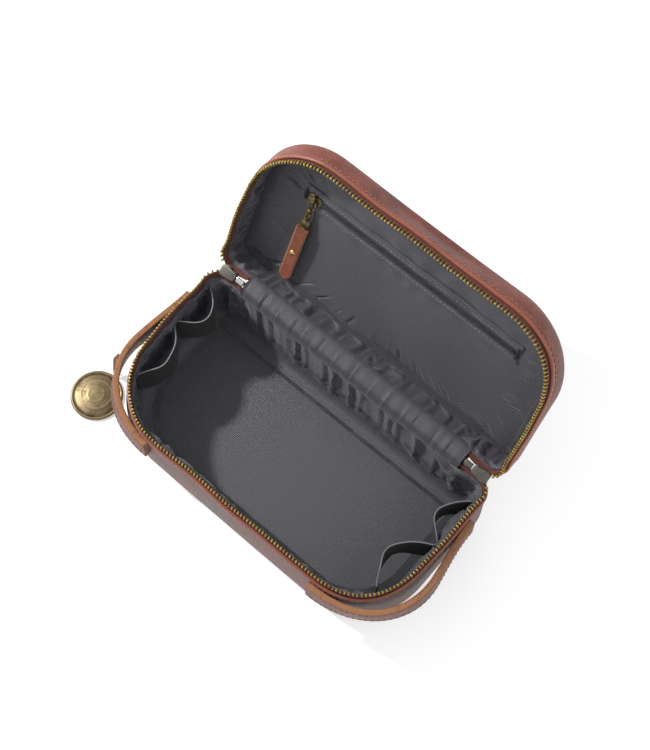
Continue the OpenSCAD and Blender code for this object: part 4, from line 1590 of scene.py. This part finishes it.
@dataclass
class HingeFold:
    """The leather and the lining that cross the hinge line and bend with the lid."""

    half_run: float = 95.0
    lining_run: float = 93.5
    hinge_y: float = 61.2
    hinge_z: float = 62.0

    def section(self, base: Sequence[tuple[float, float]], middle: Sequence[tuple[float, float]],
                lid: Sequence[tuple[float, float]], count: int) -> Array:
        """A smooth line across the hinge, from the base, over the fold, to the turned lid.

        Args:
            base: places on the base side as (y, z) about the hinge line.
            middle: places of the open fold.
            lid: places on the lid side as if it were closed.
            count: how many points are wanted.

        Returns:
            Points as (y, z) about the hinge line, evenly spaced.
        """
        turn = math.radians(-LID.open_angle)
        c, s = math.cos(turn), math.sin(turn)
        line = np.array([*base, *middle, *[(y * c - z * s, y * s + z * c) for y, z in lid]])
        for _ in range(3):
            cut = np.concatenate([line[:-1] * 0.75 + line[1:] * 0.25, line[:-1] * 0.25 + line[1:] * 0.75], 1)
            line = np.concatenate([line[:1], cut.reshape(-1, 2), line[-1:]])
        along = np.concatenate([[0.0], np.cumsum(np.linalg.norm(np.diff(line, axis=0), axis=1))])
        even = np.linspace(0, along[-1], count)
        return np.stack([np.interp(even, along, line[:, i]) for i in (0, 1)], 1)

    def band(self, line: Array, thick: float, reach: float, wave: Callable[[Array, Array], Array]) -> Patch:
        """The line carried along the hinge as a closed band of that thickness."""
        x = np.linspace(-reach, reach, 110)
        step = np.gradient(line, axis=0)
        out = np.stack([step[:, 1], -step[:, 0]], 1)
        out /= np.linalg.norm(out, axis=1, keepdims=True)
        share = np.linspace(0, 1, len(line))
        lift = wave(x[:, None], share[None])
        ends = np.sin(np.pi * share) ** 0.35 * 0.9 + 0.1
        faces = [line[None] + out[None] * (lift + side * ends * thick / 2)[..., None] for side in (1, -1)]
        ring = np.concatenate([faces[0], faces[1][:, ::-1]], 1)
        places = np.concatenate([np.broadcast_to(x[:, None, None], (*ring.shape[:2], 1)), ring], -1)
        places = places + np.array([0.0, self.hinge_y, self.hinge_z])
        around = np.concatenate([[0.0], np.cumsum(np.linalg.norm(
            np.diff(np.vstack([ring[0], ring[0, :1]]), axis=0), axis=1))])
        uv = np.stack(np.meshgrid(x, around, indexing="ij"), -1)
        made = grid(places, uv, True)
        count = ring.shape[1]
        first = np.arange(count)
        made.faces[count] = np.stack([first[::-1], first + (len(x) - 1) * count])
        made.uv[count] = np.stack([uv[0, :-1][::-1], uv[-1, :-1]])
        return made

    def build(self) -> None:
        """Makes the hinge leather and the lining over the fold."""
        line = self.section([(-0.15, -13.0), (-0.1, -9.0), (-0.1, -6.0), (-0.1, -3.0)], [(0.9, -0.7)],
                            [(-0.1, 3.0), (-0.1, 6.0), (-0.1, 9.0), (-0.15, 13.0)], 30)
        crease = lambda x, t: 0.18 * np.sin(x / 5.1 + 3 * t) * np.sin(np.pi * t)
        outer = piece("hinge_leather_fold", self.band(line, 1.5, self.half_run, crease), Finish.HINGE_LEATHER, None,
                      ["base_hinge_leather", "lid_hinge_leather"])
        place = lambda y, z: (0.0, (self.hinge_y + y) * MM, (self.hinge_z + z) * MM)
        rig.blend(outer, "base", "lid", place(-0.3, -3.0), place(2.8, -1.0))
        inner = self.section([(-5.0, -9.0), (-5.0, -6.0), (-4.0, -2.2)], [(-2.1, 0.5), (1.5, 1.6)],
                             [(-5.0, 6.0), (-5.0, 9.0)], 22)
        pucker = lambda x, t: gathers(x, t * 16.0, 31, 7.0) * np.sin(np.pi * t) * 0.75
        lining = piece("hinge_lining_fold", self.band(inner, 0.7, self.lining_run, pucker), Finish.BODY_LINING, None)
        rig.blend(lining, "base", "lid", place(-4.0, -3.0), place(6.5, 2.4))
        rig.sheet(lining, (0.19, 0.022), "gathered", ["base_lining_tub", "lid_lining_gathers"])


@dataclass
class EndStrap:
    """A doubled leather strap on one end, sewn down at both ends and bowed off the wall between them."""

    name: str
    side: int
    thick: float = 4.2
    height: float = 20.0
    depth: float = 19.0
    gap: float = 7.0
    start: float = 70.0
    end: float = 190.4

    def build(self) -> None:
        """Makes the strap with raw edges, and its stitches along both edges and across its ends."""
        t = np.linspace(0, 1, 90)
        s = self.side * (self.start + (self.end - self.start) * t)
        off = 0.15 + self.thick / 2 + self.gap * np.sin(np.pi * t) ** 2
        at, along, out, rise = wall_frames(BASE, s, -off, self.depth)
        profile = rounded(self.thick, self.height, 0.9)
        raw = smoothstep(np.abs(profile[:, 1]), self.height / 2 - 0.75, self.height / 2 - 0.3)
        made = carried(profile, at, out, rise, values={"raw": np.tile(raw, (len(t), 1))})
        piece(f"{self.name}_strap", made.moved(BASE.world), Finish.STRAP_LEATHER, "base", [f"end_strap_{self.name}"])
        face = at + out * self.thick / 2
        fine = np.arange(3, len(t) - 3, 2.55 * len(t) / 124.0 * 1.25)
        pick = lambda rows: np.stack([np.interp(fine, np.arange(len(t)), rows[:, i]) for i in range(3)], 1)
        f, a, o, r = pick(face), pick(along), pick(out), pick(rise)
        shape = stitch_shape(2.4, 0.6)
        rows = [repeated(shape, f + r * level, a, o, r) for level in (-7.3, 7.3)]
        level = np.linspace(-6.0, 6.0, 5)
        for end in (2, len(t) - 3):
            bar = face[end] + rise[end] * level[:, None]
            same = lambda v: np.tile(v[end], (5, 1))
            rows.append(repeated(shape, bar, same(rise), same(out), same(along)))
        piece(f"{self.name}_strap_stitches", join(rows).moved(BASE.world), Finish.TAN_THREAD, "base")


@dataclass
class ElasticBand:
    """One elastic band standing on edge inside the base, tacked at both ends."""

    name: str
    start: tuple[float, float]
    end: tuple[float, float]
    bulge: float
    low: float = 26.0
    high: float = 52.0
    thick: float = 1.0

    def build(self) -> None:
        """Makes the band along its bulging line, with a slightly frilled upper edge, and its tacks."""
        t = np.linspace(0, 1, 44)
        a, b = np.array(self.start), np.array(self.end)
        run = b - a
        n = np.array([-run[1], run[0]]) / np.linalg.norm(run)
        line = a + run * t[:, None] + n * (self.bulge * np.sin(np.pi * t) + self.thick / 2)[:, None]
        step = np.gradient(line, axis=0)
        step /= np.linalg.norm(step, axis=1, keepdims=True)
        out = np.stack([-step[:, 1], step[:, 0], 0 * t], 1)
        at = np.concatenate([line, np.full((len(t), 1), (self.low + self.high) / 2)], 1)
        profile = rounded(self.thick, self.high - self.low, 0.4)
        # edge marks the band's top and bottom rims, where the elastic finish paints a grey highlight.
        edge = smoothstep(np.abs(profile[:, 1]), 12.62, 12.9)
        sway = 0.5 * np.sin(line[:, 1] / 3.1)[:, None] * (profile[None, :, 1] / 13.0) ** 3
        places = np.stack([np.broadcast_to(profile[None, :, 0], sway.shape) + sway,
                           np.broadcast_to(profile[None, :, 1], sway.shape)], -1)
        up = np.tile([0.0, 0.0, 1.0], (len(t), 1))
        made = carried(places, at, out, up, values={"edge": np.tile(edge, (len(t), 1))})
        made.uv = {k: w[..., ::-1].copy() for k, w in made.uv.items()}
        piece(self.name, made, Finish.ELASTIC, "base", [self.name])
        z = np.linspace(self.low + 1.5, self.high - 1.5, 12)
        parts = []
        for end in (1, len(t) - 2):
            bar = np.stack([np.full(12, at[end, 0]), np.full(12, at[end, 1]), z], 1) + out[end] * 0.6
            same = lambda v: np.tile(v, (12, 1))
            along = np.append(step[end], 0.0)
            parts.append(repeated(stitch_shape(2.2, 0.5), bar, same(along), same(out[end]), same([0.0, 0.0, 1.0])))
        piece(f"{self.name}_tacks", join(parts), Finish.BLACK_THREAD, "base")


def shield(length: float, wide: float, narrow: float) -> Array:
    """The outline of a slider's plate: wide shoulders, a waist and a blunt tail, with eased corners."""
    l, w, n = length / 2, wide / 2, narrow / 2
    half = np.array([(l, 0.0), (l, w * 0.62), (l - 1.0, w * 0.96), (l * 0.35, w), (-l * 0.25, w * 0.8),
                     (-l + 1.2, n * 0.94), (-l, n * 0.6), (-l, 0.0)])
    line = np.concatenate([half, (half * [1, -1])[::-1][1:-1]])
    for _ in range(2):
        nxt = np.roll(line, -1, 0)
        line = np.stack([line * 0.78 + nxt * 0.22, line * 0.22 + nxt * 0.78], 1).reshape(-1, 2)
    return line[::-1]


def ring_of(radius: float, wire: float, centre: Array, first: Array, second: Array, stretch: float = 0.0,
            sides: int = 10) -> Patch:
    """A closed wire ring, or a long link where stretch parts its two ends along the second direction."""
    a = np.linspace(0, 2 * math.pi, 49)[:-1]
    x, y = radius * np.cos(a), radius * np.sin(a)
    y = y + np.where(np.sin(a) >= 0, stretch / 2, -stretch / 2)
    if stretch:
        gaps = 8
        straight = np.linspace(-stretch / 2, stretch / 2, gaps + 2)[1:-1]
        x = np.concatenate([x[:25], np.full(gaps, -radius), x[25:], np.full(gaps, radius)])
        y = np.concatenate([y[:25], straight[::-1], y[25:], straight])
    at = centre + x[:, None] * first + y[:, None] * second
    step = np.roll(at, -1, 0) - np.roll(at, 1, 0)
    step /= np.linalg.norm(step, axis=1, keepdims=True)
    normal = np.cross(first, second)
    side = np.cross(step, normal)
    return carried(round_wire(wire, sides), at, side, np.tile(normal, (len(at), 1)), closed=True)


def lathed(profile: Array, centre: Array, first: Array, second: Array, axis: Array, sides: int = 32,
           values: dict[str, Array] | None = None) -> Patch:
    """A profile of (radius, height) turned about an axis, with its two ends closed at the axis.

    Args:
        profile: from the axis to the axis, with radius 0 left out at both ends.
        centre: the axis's foot.
        first: a direction square to the axis.
        second: another, square to both.
        axis: the axis's direction.
        sides: how many faces go round.
        values: numbers for the profile's points.

    Returns:
        A closed patch.
    """
    a = np.arange(sides) * 2 * math.pi / sides
    ring = np.cos(a)[:, None] * first + np.sin(a)[:, None] * second
    points = centre + profile[:, None, :1] * ring[None] + profile[:, None, 1:] * axis
    made = grid(points, None, True, {k: np.repeat(v[:, None], sides, 1) for k, v in (values or {}).items()})
    zero = np.zeros((sides + 1, 2))
    made = capped(made, np.arange(sides), centre + axis * profile[0, 1], True, zero)
    return capped(made, (len(profile) - 1) * sides + np.arange(sides), centre + axis * profile[-1, 1], False, zero)


@dataclass(frozen=True)
class Axes:
    """A place with three square directions, in which small parts are drawn."""

    at: Array
    a: Array
    b: Array
    c: Array

    def world(self, p: Array) -> Array:
        """Points drawn along a, b and c as points of the bag."""
        return self.at + p[..., :1] * self.a + p[..., 1:2] * self.b + p[..., 2:] * self.c


def rivet(place: Axes, centre: Array, thick: float) -> Patch:
    """A two-sided rivet through a tab, along the third direction."""
    half = thick / 2
    dome = np.array([(0.35, half + 0.72), (0.9, half + 0.66), (1.45, half + 0.5), (1.9, half + 0.25),
                     (2.05, half + 0.05), (1.4, half - 0.1), (1.4, -half + 0.1), (2.05, -half - 0.05), (1.9, -half - 0.25),
                     (1.45, -half - 0.5), (0.9, -half - 0.66), (0.35, -half - 0.72)])
    x, y, z = np.eye(3)
    return lathed(dome[::-1], centre, x, y, z, 24).moved(place.world)


@dataclass
class LeatherTab:
    """A leather pull tab with raw edges, a round end, two stitch rows and a rivet.

    It is drawn along the second direction of its axes, as wide as the first and as thick as the third.
    """

    name: str
    place: Axes
    body: str
    length: float
    nodes: tuple[str, str]
    width: float = 9.0
    thick: float = 3.0

    def build(self) -> None:
        """Makes the leather, the stitches that run round it on both faces, and the rivet."""
        l, w, t = self.length, self.width / 2, self.thick
        y = np.concatenate([[0.0, 0.5], np.linspace(1.5, l - w, 26), l - w + w * np.sin(np.linspace(0.12, 1.46, 12))])
        reach = np.where(y > l - w, np.sqrt(np.clip(w * w - (y - l + w) ** 2, 0.25, None)), w)
        reach = reach * (1 - 0.05 * smoothstep(0.6 - y, 0, 0.6)) - 0.35 * np.sin(np.pi * np.clip(y / l, 0, 1)) * 0.4
        profile = rounded(2.0, t, 0.5)[None] * np.stack([reach, np.ones_like(reach)], 1)[:, None]
        edge = smoothstep(np.abs(rounded(2.0, t, 0.5)[:, 1]), t / 2 - 0.32, t / 2 - 0.12)
        origins = np.stack([0 * y, y, 0 * y], 1)
        a, c = np.tile([1.0, 0.0, 0.0], (len(y), 1)), np.tile([0.0, 0.0, 1.0], (len(y), 1))
        made = carried(profile, origins, a, c, values={"raw": np.tile(1 - edge, (len(y), 1))})
        piece(f"{self.name}_tab", made.moved(self.place.world), Finish.TAB_LEATHER, self.body, [self.nodes[0]])
        inner = w - 1.35
        straight = np.arange(2.2, l - w, 2.35)
        turn = np.linspace(0.0, math.pi, 7)[1:-1]
        px = np.concatenate([np.full_like(straight, -inner), -inner * np.cos(turn), np.full_like(straight, inner)])
        py = np.concatenate([straight, l - w + inner * np.sin(turn), straight[::-1]])
        dx = np.concatenate([0 * straight, np.sin(turn), 0 * straight])
        dy = np.concatenate([1 + 0 * straight, np.cos(turn), -1 + 0 * straight])
        rows = []
        for face in (-1, 1):
            at = np.stack([px, py, np.full_like(px, face * (t / 2 + 0.02))], 1)
            along = np.stack([dx, dy, 0 * dx], 1)
            up = np.tile([0.0, 0.0, float(face)], (len(px), 1))
            rows.append(repeated(stitch_shape(1.75, 0.5), at, along, up, np.cross(along, up)))
        piece(f"{self.name}_tab_stitches", join(rows).moved(self.place.world), Finish.TAN_THREAD, self.body)
        piece(f"{self.name}_rivet", rivet(self.place, np.array([0.0, l * 0.48, 0.0]), t), Finish.RIVET, self.body,
              [self.nodes[1]])


@dataclass
class MainPull:
    """One of the two main sliders with its stop, ring and leather tab."""

    side: int
    name: str
    slider_x: float = 108.0
    length: float = 12.3
    wide: float = 8.6
    narrow: float = 7.0
    thick: float = 4.6
    wall: float = 1.1
    ring: float = 3.6
    wire: float = 0.7
    lean: float = 28.0

    def axes(self) -> Axes:
        """The slider's own directions at half of the lid's turn: outwards along the bag, out, and across."""
        turn = math.radians(-LID.open_angle / 2)
        out = np.array([0.0, math.cos(turn), math.sin(turn)])
        across = np.array([0.0, -math.sin(turn), math.cos(turn)])
        return Axes(np.array([self.side * self.slider_x, LID.hinge_y, LID.zip_z]),
                    np.array([float(self.side), 0.0, 0.0]), out, across)

    def slider(self) -> Patch:
        """Two shield plates a few millimetres apart, side flanges, a wedge between them, a bail and a ridge."""
        gap = (self.thick - self.wall) / 2
        flat = plate([shield(self.length, self.wide, self.narrow)], self.wall, 0.35)
        lay = lambda height: (lambda p: np.stack([p[:, 0], p[:, 2] + height, p[:, 1]], 1))
        parts = [flat.moved(lay(gap)), flat.moved(lay(-gap))]
        wedge = plate([shield(4.4, 3.2, 1.2)], 2 * gap - 0.2, 0.1)
        parts.append(wedge.moved(lambda p: np.stack([p[:, 0] + self.length / 2 - 2.6, p[:, 2], p[:, 1]], 1)))
        for edge in (-1, 1):
            for level in (-1, 1):
                x = np.linspace(-self.length / 2 + 1.4, 1.2, 8)
                at = np.stack([x, np.full(8, level * (gap - 0.75)),
                               np.full(8, edge * (self.narrow / 2 - 0.35)) + edge * 0.5 * smoothstep(x, -2, 2)], 1)
                parts.append(carried(rounded(1.1, 0.8, 0.3), at, np.tile([0.0, 1.0, 0.0], (8, 1)),
                                     np.tile([0.0, 0.0, 1.0], (8, 1))))
        x = np.linspace(-self.length / 2 + 1.8, self.length / 2 - 1.8, 12)
        swell = np.sin(np.linspace(0.12, 1, 12) * math.pi * 0.93) ** 0.5
        ridge = rounded(0.5, 1.5, 0.2)[None] * np.stack([swell, swell], 1)[:, None]
        at = np.stack([x, np.full(12, -self.thick / 2 - 0.02), 0 * x], 1)
        parts.append(carried(ridge, at, np.tile([0.0, 1.0, 0.0], (12, 1)), np.tile([0.0, 0.0, 1.0], (12, 1))))
        a = np.linspace(-0.12, math.pi + 0.12, 22)
        at = np.stack([0 * a, self.thick / 2 + 0.4 + 3.15 * np.sin(a), 3.15 * np.cos(a)], 1)
        out = np.stack([0 * a, np.sin(a), np.cos(a)], 1)
        parts.append(carried(rounded(0.9, 2.0, 0.35), at, out, np.tile([1.0, 0.0, 0.0], (22, 1))))
        return join(parts)

    def stop(self) -> Patch:
        """The box that ends the zip, with two grooves round it."""
        x = np.linspace(-1, 1, 13)
        size = 1 - 0.12 * np.abs(x) ** 8 - 0.07 * (bell(x, -0.35, 0.07) + bell(x, 0.35, 0.07))
        profile = rounded(2.6, 3.9, 0.7)[None] * size[:, None, None]
        at = np.stack([-10 + 2.95 * x, 0 * x, 0 * x], 1)
        return carried(profile, at, np.tile([0.0, 1.0, 0.0], (13, 1)), np.tile([0.0, 0.0, 1.0], (13, 1)))

    def build(self) -> None:
        """Makes the slider and stop on the runner, the ring on its own body, and the tab."""
        place = self.axes()
        runner = f"{self.name}_runner"
        piece(f"{self.name}_slider_body", self.slider().moved(place.world), Finish.GUNMETAL, runner,
              [f"{self.name}_slider"])
        bright = Finish.NICKEL if self.side < 0 else Finish.GUNMETAL
        piece(f"{self.name}_stop_box", self.stop().moved(place.world), bright, runner, [f"{self.name}_zip_stop"])
        eye = place.at + place.b * (self.thick / 2 + 1.3)
        tilt = math.radians(self.lean if self.side < 0 else 0.0)
        down = np.array([self.side * math.sin(tilt), 0.0, -math.cos(tilt)])
        wide = np.cross(down, [0.0, 1.0, 0.0])
        back = np.array([0.0, 1.0, 0.0])
        piece(f"{self.name}_ring_wire", ring_of(self.ring, self.wire, eye + down * self.ring, wide, down),
              Finish.GUNMETAL if self.side < 0 else Finish.NICKEL, f"{self.name}_ring", [f"{self.name}_pull_ring"])
        top = eye + down * (2 * self.ring + self.wire + 0.4) + back * 0.9
        LeatherTab(self.name, Axes(top, wide, down, back), f"{self.name}_tab", 38.0,
                   (f"{self.name}_pull_tab", f"{self.name}_pull_rivet")).build()


@dataclass
class PocketPull:
    """The pocket's slider with its link, plate and long leather tab."""

    x: float = -78.0
    y: float = -18.8
    panel: float = 22.8
    drop: float = 4.6

    def axes(self) -> Axes:
        """Directions at the pull's pivot: along the bag, to the hinge, and towards the panel."""
        at = np.array([self.x, self.y, self.panel - self.drop])
        origin = LID.world(at)
        ways = [LID.world(at + row) - origin for row in np.eye(3)]
        return Axes(origin, *ways)

    def build(self) -> None:
        """Makes the slider on its runner, and the link, plate and tab that hang from it."""
        place = self.axes()
        level = self.drop - 1.2
        body = plate([shield(10.5, 7.6, 6.2) * [-1, 1]], 1.2, 0.4).moved(lambda p: p + [0.0, 0.0, level])
        ridge = plate([shield(6.0, 3.4, 2.2) * [-1, 1]], 0.8, 0.25).moved(lambda p: p + [0.0, 0.0, level - 0.7])
        a = np.linspace(-0.1, math.pi + 0.1, 22)
        at = np.stack([0 * a, 3.05 * np.cos(a), level - 0.5 - 3.05 * np.sin(a)], 1)
        out = np.stack([0 * a, np.cos(a), -np.sin(a)], 1)
        bail = carried(rounded(0.9, 2.4, 0.32), at, out, np.tile([1.0, 0.0, 0.0], (22, 1)))
        piece("pocket_slider_body", join([body, ridge, bail]).moved(place.world), Finish.ANTIQUE, "pocket_runner",
              ["pocket_slider"])
        x, y, z = np.eye(3)
        link = ring_of(2.6, 0.7, np.array([0.0, 4.3, 1.4]), x, y, 3.4)
        piece("pocket_link", link.moved(place.world), Finish.ANTIQUE, "pocket_pull", ["pocket_pull_link"])
        base = 8.6
        eye_a = np.linspace(0, 2 * math.pi, 25)[:-1]
        roll = carried(rounded(0.7, 2.2, 0.25), np.stack([0 * eye_a, 1.4 * np.cos(eye_a), 1.4 * np.sin(eye_a)], 1),
                       np.stack([0 * eye_a, np.cos(eye_a), np.sin(eye_a)], 1), np.tile(x, (24, 1)), closed=True)
        outline = np.array([(-1.7, 1.3), (-2.2, 2.6), (-2.1, 5.6), (-2.6, 7.6), (-3.7, 9.0), (-4.05, 11.4),
                            (-3.9, 14.1), (-3.1, 14.8), (3.1, 14.8), (3.9, 14.1), (4.05, 11.4), (3.7, 9.0),
                            (2.6, 7.6), (2.1, 5.6), (2.2, 2.6), (1.7, 1.3)])
        for _ in range(2):
            nxt = np.roll(outline, -1, 0)
            outline = np.stack([outline * 0.8 + nxt * 0.2, outline * 0.2 + nxt * 0.8], 1).reshape(-1, 2)
        ring = np.linspace(0, 2 * math.pi, 21)[:-1]
        hole = np.stack([1.05 * np.cos(ring), 5.2 + 1.3 * np.sin(ring)], 1)
        slit = rounded(5.4, 1.8, 0.7) + [0.0, 12.4]
        leaf = plate([outline, hole, slit], 1.3, 0.35)
        shift = np.array([0.0, base, 1.4])
        piece("pocket_plate", join([roll, leaf]).moved(lambda p: p + shift).moved(place.world), Finish.ANTIQUE,
              "pocket_pull", ["pocket_pull_plate"])
        tab = Axes(place.world(np.array([0.0, 23.8, 0.6])), place.a, place.b, place.c)
        LeatherTab("pocket", tab, "pocket_leather", 46.0, ("pocket_tab", "pocket_tab_rivet")).build()
        loop = ring_of(2.2, 0.55, np.array([0.0, 22.3, 1.2]), x, y, 1.2)
        piece("pocket_tab_loop", loop.moved(place.world), Finish.ANTIQUE, "pocket_pull")


@dataclass
class Medallion:
    """A domed brass disc with plain raised rings, hung by its shank from a flat leather lace."""

    centre: tuple[float, float] = (-136.5, -48.5)
    radius: float = 18.3
    height: float = 4.4
    head: tuple[float, float, float] = (-130.6, -27.4, 43.0)
    foot: tuple[float, float, float] = (-137.5, -27.4, 4.2)

    def disc(self) -> Patch:
        """A turned profile: flat back, beaded rim, a groove, a raised ring and a shallow dome."""
        r, h = self.radius, self.height
        inner = np.linspace(r - 3.4, 0.4, 22)
        dome = 2.35 + (h - 2.35) * (1 - (inner / (r - 3.4)) ** 2)
        rings = 0.28 * bell(inner, 11.0, 0.45) + 0.22 * bell(inner, 5.6, 0.4)
        line = np.concatenate([
            [(0.5, 0.25), (r - 2.2, 0.0), (r - 0.6, 0.15), (r, 0.75), (r, 1.35), (r - 0.35, 1.95), (r - 1.0, 2.3),
             (r - 1.7, 2.25), (r - 2.2, 1.85), (r - 2.7, 1.8), (r - 3.0, 2.1)],
            np.stack([inner, dome + rings], 1)])
        relief = np.concatenate([[0, 0, 0.3, 0.8, 0.9, 1.0, 0.9, 0.4, 0, 0, 0.4],
                                 0.25 + 0.5 * (dome - 2.35) / (h - 2.35) * 0.4 + rings * 2.2])
        x, y, z = np.eye(3)
        return lathed(line, np.array([*self.centre, 0.1]), x, y, z, 128, {"relief": relief})

    def beads(self) -> Patch:
        """Small beads round the rim, just inside its edge."""
        count = 88
        a = np.arange(count) * 2 * math.pi / count
        out = np.stack([np.cos(a), np.sin(a), 0 * a], 1)
        along = np.stack([-np.sin(a), np.cos(a), 0 * a], 1)
        up = np.tile([0.0, 0.0, 1.0], (count, 1))
        at = out * (self.radius - 2.45) + np.array([*self.centre, 2.05])
        return repeated(stitch_shape(0.95, 0.6), at, along, up, out)

    def build(self) -> None:
        """Makes the disc, its beads, its shank and the lace."""
        piece("medallion_face", self.disc(), Finish.MEDAL, "medallion", ["medallion_disc"], sharp=60)
        piece("medallion_beads", self.beads(), Finish.MEDAL, "medallion")
        x, y, z = np.eye(3)
        eye = np.array([self.centre[0], self.centre[1] + self.radius + 2.1, 2.0])
        piece("medallion_eye", ring_of(1.7, 0.55, eye, y, z), Finish.ANTIQUE, "medallion", ["medallion_shank"])
        head, foot = np.array(self.head), np.array(self.foot)
        t = np.linspace(0, 1, 36)
        way = (head - foot) / np.linalg.norm(head - foot)
        run = float(np.linalg.norm(head - foot)) - 2.2
        bow = np.array([-0.9, 0.0, 0.3])
        at = foot + way * (1.1 + run * t)[:, None] + bow * (np.sin(np.pi * t) * 1.1)[:, None]
        turn = 0.35 * np.sin(np.pi * t) ** 2
        flat = np.array([0.0, 1.0, 0.0])
        side = np.cross(way, flat)
        wide = flat * np.cos(turn)[:, None] + side * np.sin(turn)[:, None]
        thin = np.cross(np.tile(way, (36, 1)), wide)
        profile = rounded(5.0, 1.6, 0.45)
        raw = 1 - smoothstep(np.abs(profile[:, 1]), 0.45, 0.7)
        piece("medallion_lace_strip", carried(profile, at, wide, thin, values={"raw": np.tile(raw, (36, 1))}),
              Finish.LACE_LEATHER, "lace", ["medallion_lace"])


@dataclass
class Studio:
    """The floor, the lights and the camera."""

    azimuth: float = 40.85
    elevation: float = 68.07
    distance: float = 1.0
    lens: float = 73.44
    target: tuple[float, float, float] = (-0.01169, 0.04822, 0.060)

    def basis(self) -> tuple[Vector, Vector, Vector]:
        """The view's right, up and back directions."""
        a, e = math.radians(self.azimuth), math.radians(self.elevation)
        right = Vector((math.cos(a), math.sin(a), 0.0))
        back = Vector((math.sin(a) * math.cos(e), -math.cos(a) * math.cos(e), math.sin(e)))
        return right, back.cross(right), back

    def camera(self) -> None:
        """Stands the camera back from the target along the view."""
        back = self.basis()[2]
        data = bpy.data.cameras.new("camera")
        data.sensor_fit, data.sensor_height, data.lens = "VERTICAL", 36.0, self.lens
        data.clip_start, data.clip_end = 0.01, 20.0
        view = bpy.data.objects.new("camera", data)
        view.location = Vector(self.target) + back * self.distance
        view.rotation_euler = back.to_track_quat("Z", "Y").to_euler()
        bpy.context.scene.collection.objects.link(view)
        bpy.context.scene.camera = view

    def lamp(self, name: str, across: float, along: float, height: float, power: float, size: float,
             colour: tuple[float, float, float]) -> None:
        """Adds a square lamp that looks at the target, placed by the view's right and up on the floor."""
        right, up, _ = self.basis()
        flat = Vector((up.x, up.y, 0.0)).normalized()
        data = bpy.data.lights.new(name, "AREA")
        data.energy, data.size, data.color = power, size, colour
        made = bpy.data.objects.new(name, data)
        spot = Vector((self.target[0], self.target[1], 0.05))
        made.location = spot + right * across + flat * along + Vector((0, 0, height))
        made.rotation_euler = (made.location - spot).to_track_quat("Z", "Y").to_euler()
        bpy.context.scene.collection.objects.link(made)

    def floor(self) -> None:
        """A wide pale floor."""
        mesh = bpy.data.meshes.new("floor")
        s = 3.0
        mesh.from_pydata([(-s, -s, -0.0002), (s, -s, -0.0002), (s, s, -0.0002), (-s, s, -0.0002)], [], [(0, 1, 2, 3)])
        made = bpy.data.objects.new("floor", mesh)
        bpy.context.scene.collection.objects.link(made)
        n = Nodes("floor")
        mesh.materials.append(n.finish(Base_Color=(0.8, 0.8, 0.805, 1.0), Roughness=0.8, Specular_IOR_Level=0.1,
                                       Emission_Color=(1.0, 1.0, 1.0, 1.0), Emission_Strength=0.42))
        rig.stage(made)

    def build(self) -> None:
        """Sets up the world, floor, lamps and camera."""
        scene = bpy.context.scene
        scene.view_settings.view_transform = "Standard"
        world = bpy.data.worlds.new("studio")
        scene.world = world
        world.use_nodes = True
        sky = world.node_tree.nodes["Background"]
        sky.inputs[0].default_value, sky.inputs[1].default_value = (0.97, 0.98, 1.0, 1.0), 0.62
        self.floor()
        self.lamp("key", -0.85, 0.42, 0.8, 15.0, 0.09, (1.0, 0.985, 0.96))
        self.lamp("fill", 0.7, -0.5, 0.9, 4.0, 0.9, (0.96, 0.98, 1.0))
        self.camera()


def dress(node: str, finish: Finish) -> None:
    """Gives a CAD node that stays as it is a finish."""
    held = frame["nodes"][node]
    held.data.materials.clear()
    held.data.materials.append(finish.material())


def main() -> None:
    """Builds the studio and every piece of the bag, in order."""
    Studio().build()
    for half, leather in ((BASE, Finish.BASE_LEATHER), (LID, Finish.LID_LEATHER)):
        LeatherShell(half, leather).build()
        ZipSide(half).build()
    BaseLining().build()
    LidLining().build()
    LidPanel().build()
    HingeFold().build()
    EndStrap("left", -1).build()
    EndStrap("right", 1, gap=7.0).build()
    wall_x = 114.6
    for name, start, end, bulge in (
            ("elastic_left_back", (-wall_x, 48.0), (-wall_x, 15.0), 14.0),
            ("elastic_left_front", (-wall_x, 13.0), (5.0 - wall_x, -32.0), 12.0),
            ("elastic_right_front", (wall_x - 10.0, -36.0), (wall_x, 8.0), 16.0),
            ("elastic_right_back", (wall_x, 11.0), (wall_x, 46.0), 13.0)):
        ElasticBand(name, start, end, bulge).build()
    MainPull(-1, "left").build()
    MainPull(1, "right").build()
    PocketPull().build()
    Medallion().build()
    for node in ("base_board", "lid_board"):
        dress(node, Finish.BOARD)
    dress("lid_pocket_backing", Finish.POCKET_LINING)
    Path("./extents.json").write_text(json.dumps({"cad": [list(map(float, v)) for v in CAD_BOX],
                                                      "seen": [list(map(float, v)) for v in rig.bounds()]}))


if __name__ == "__main__":
    main()
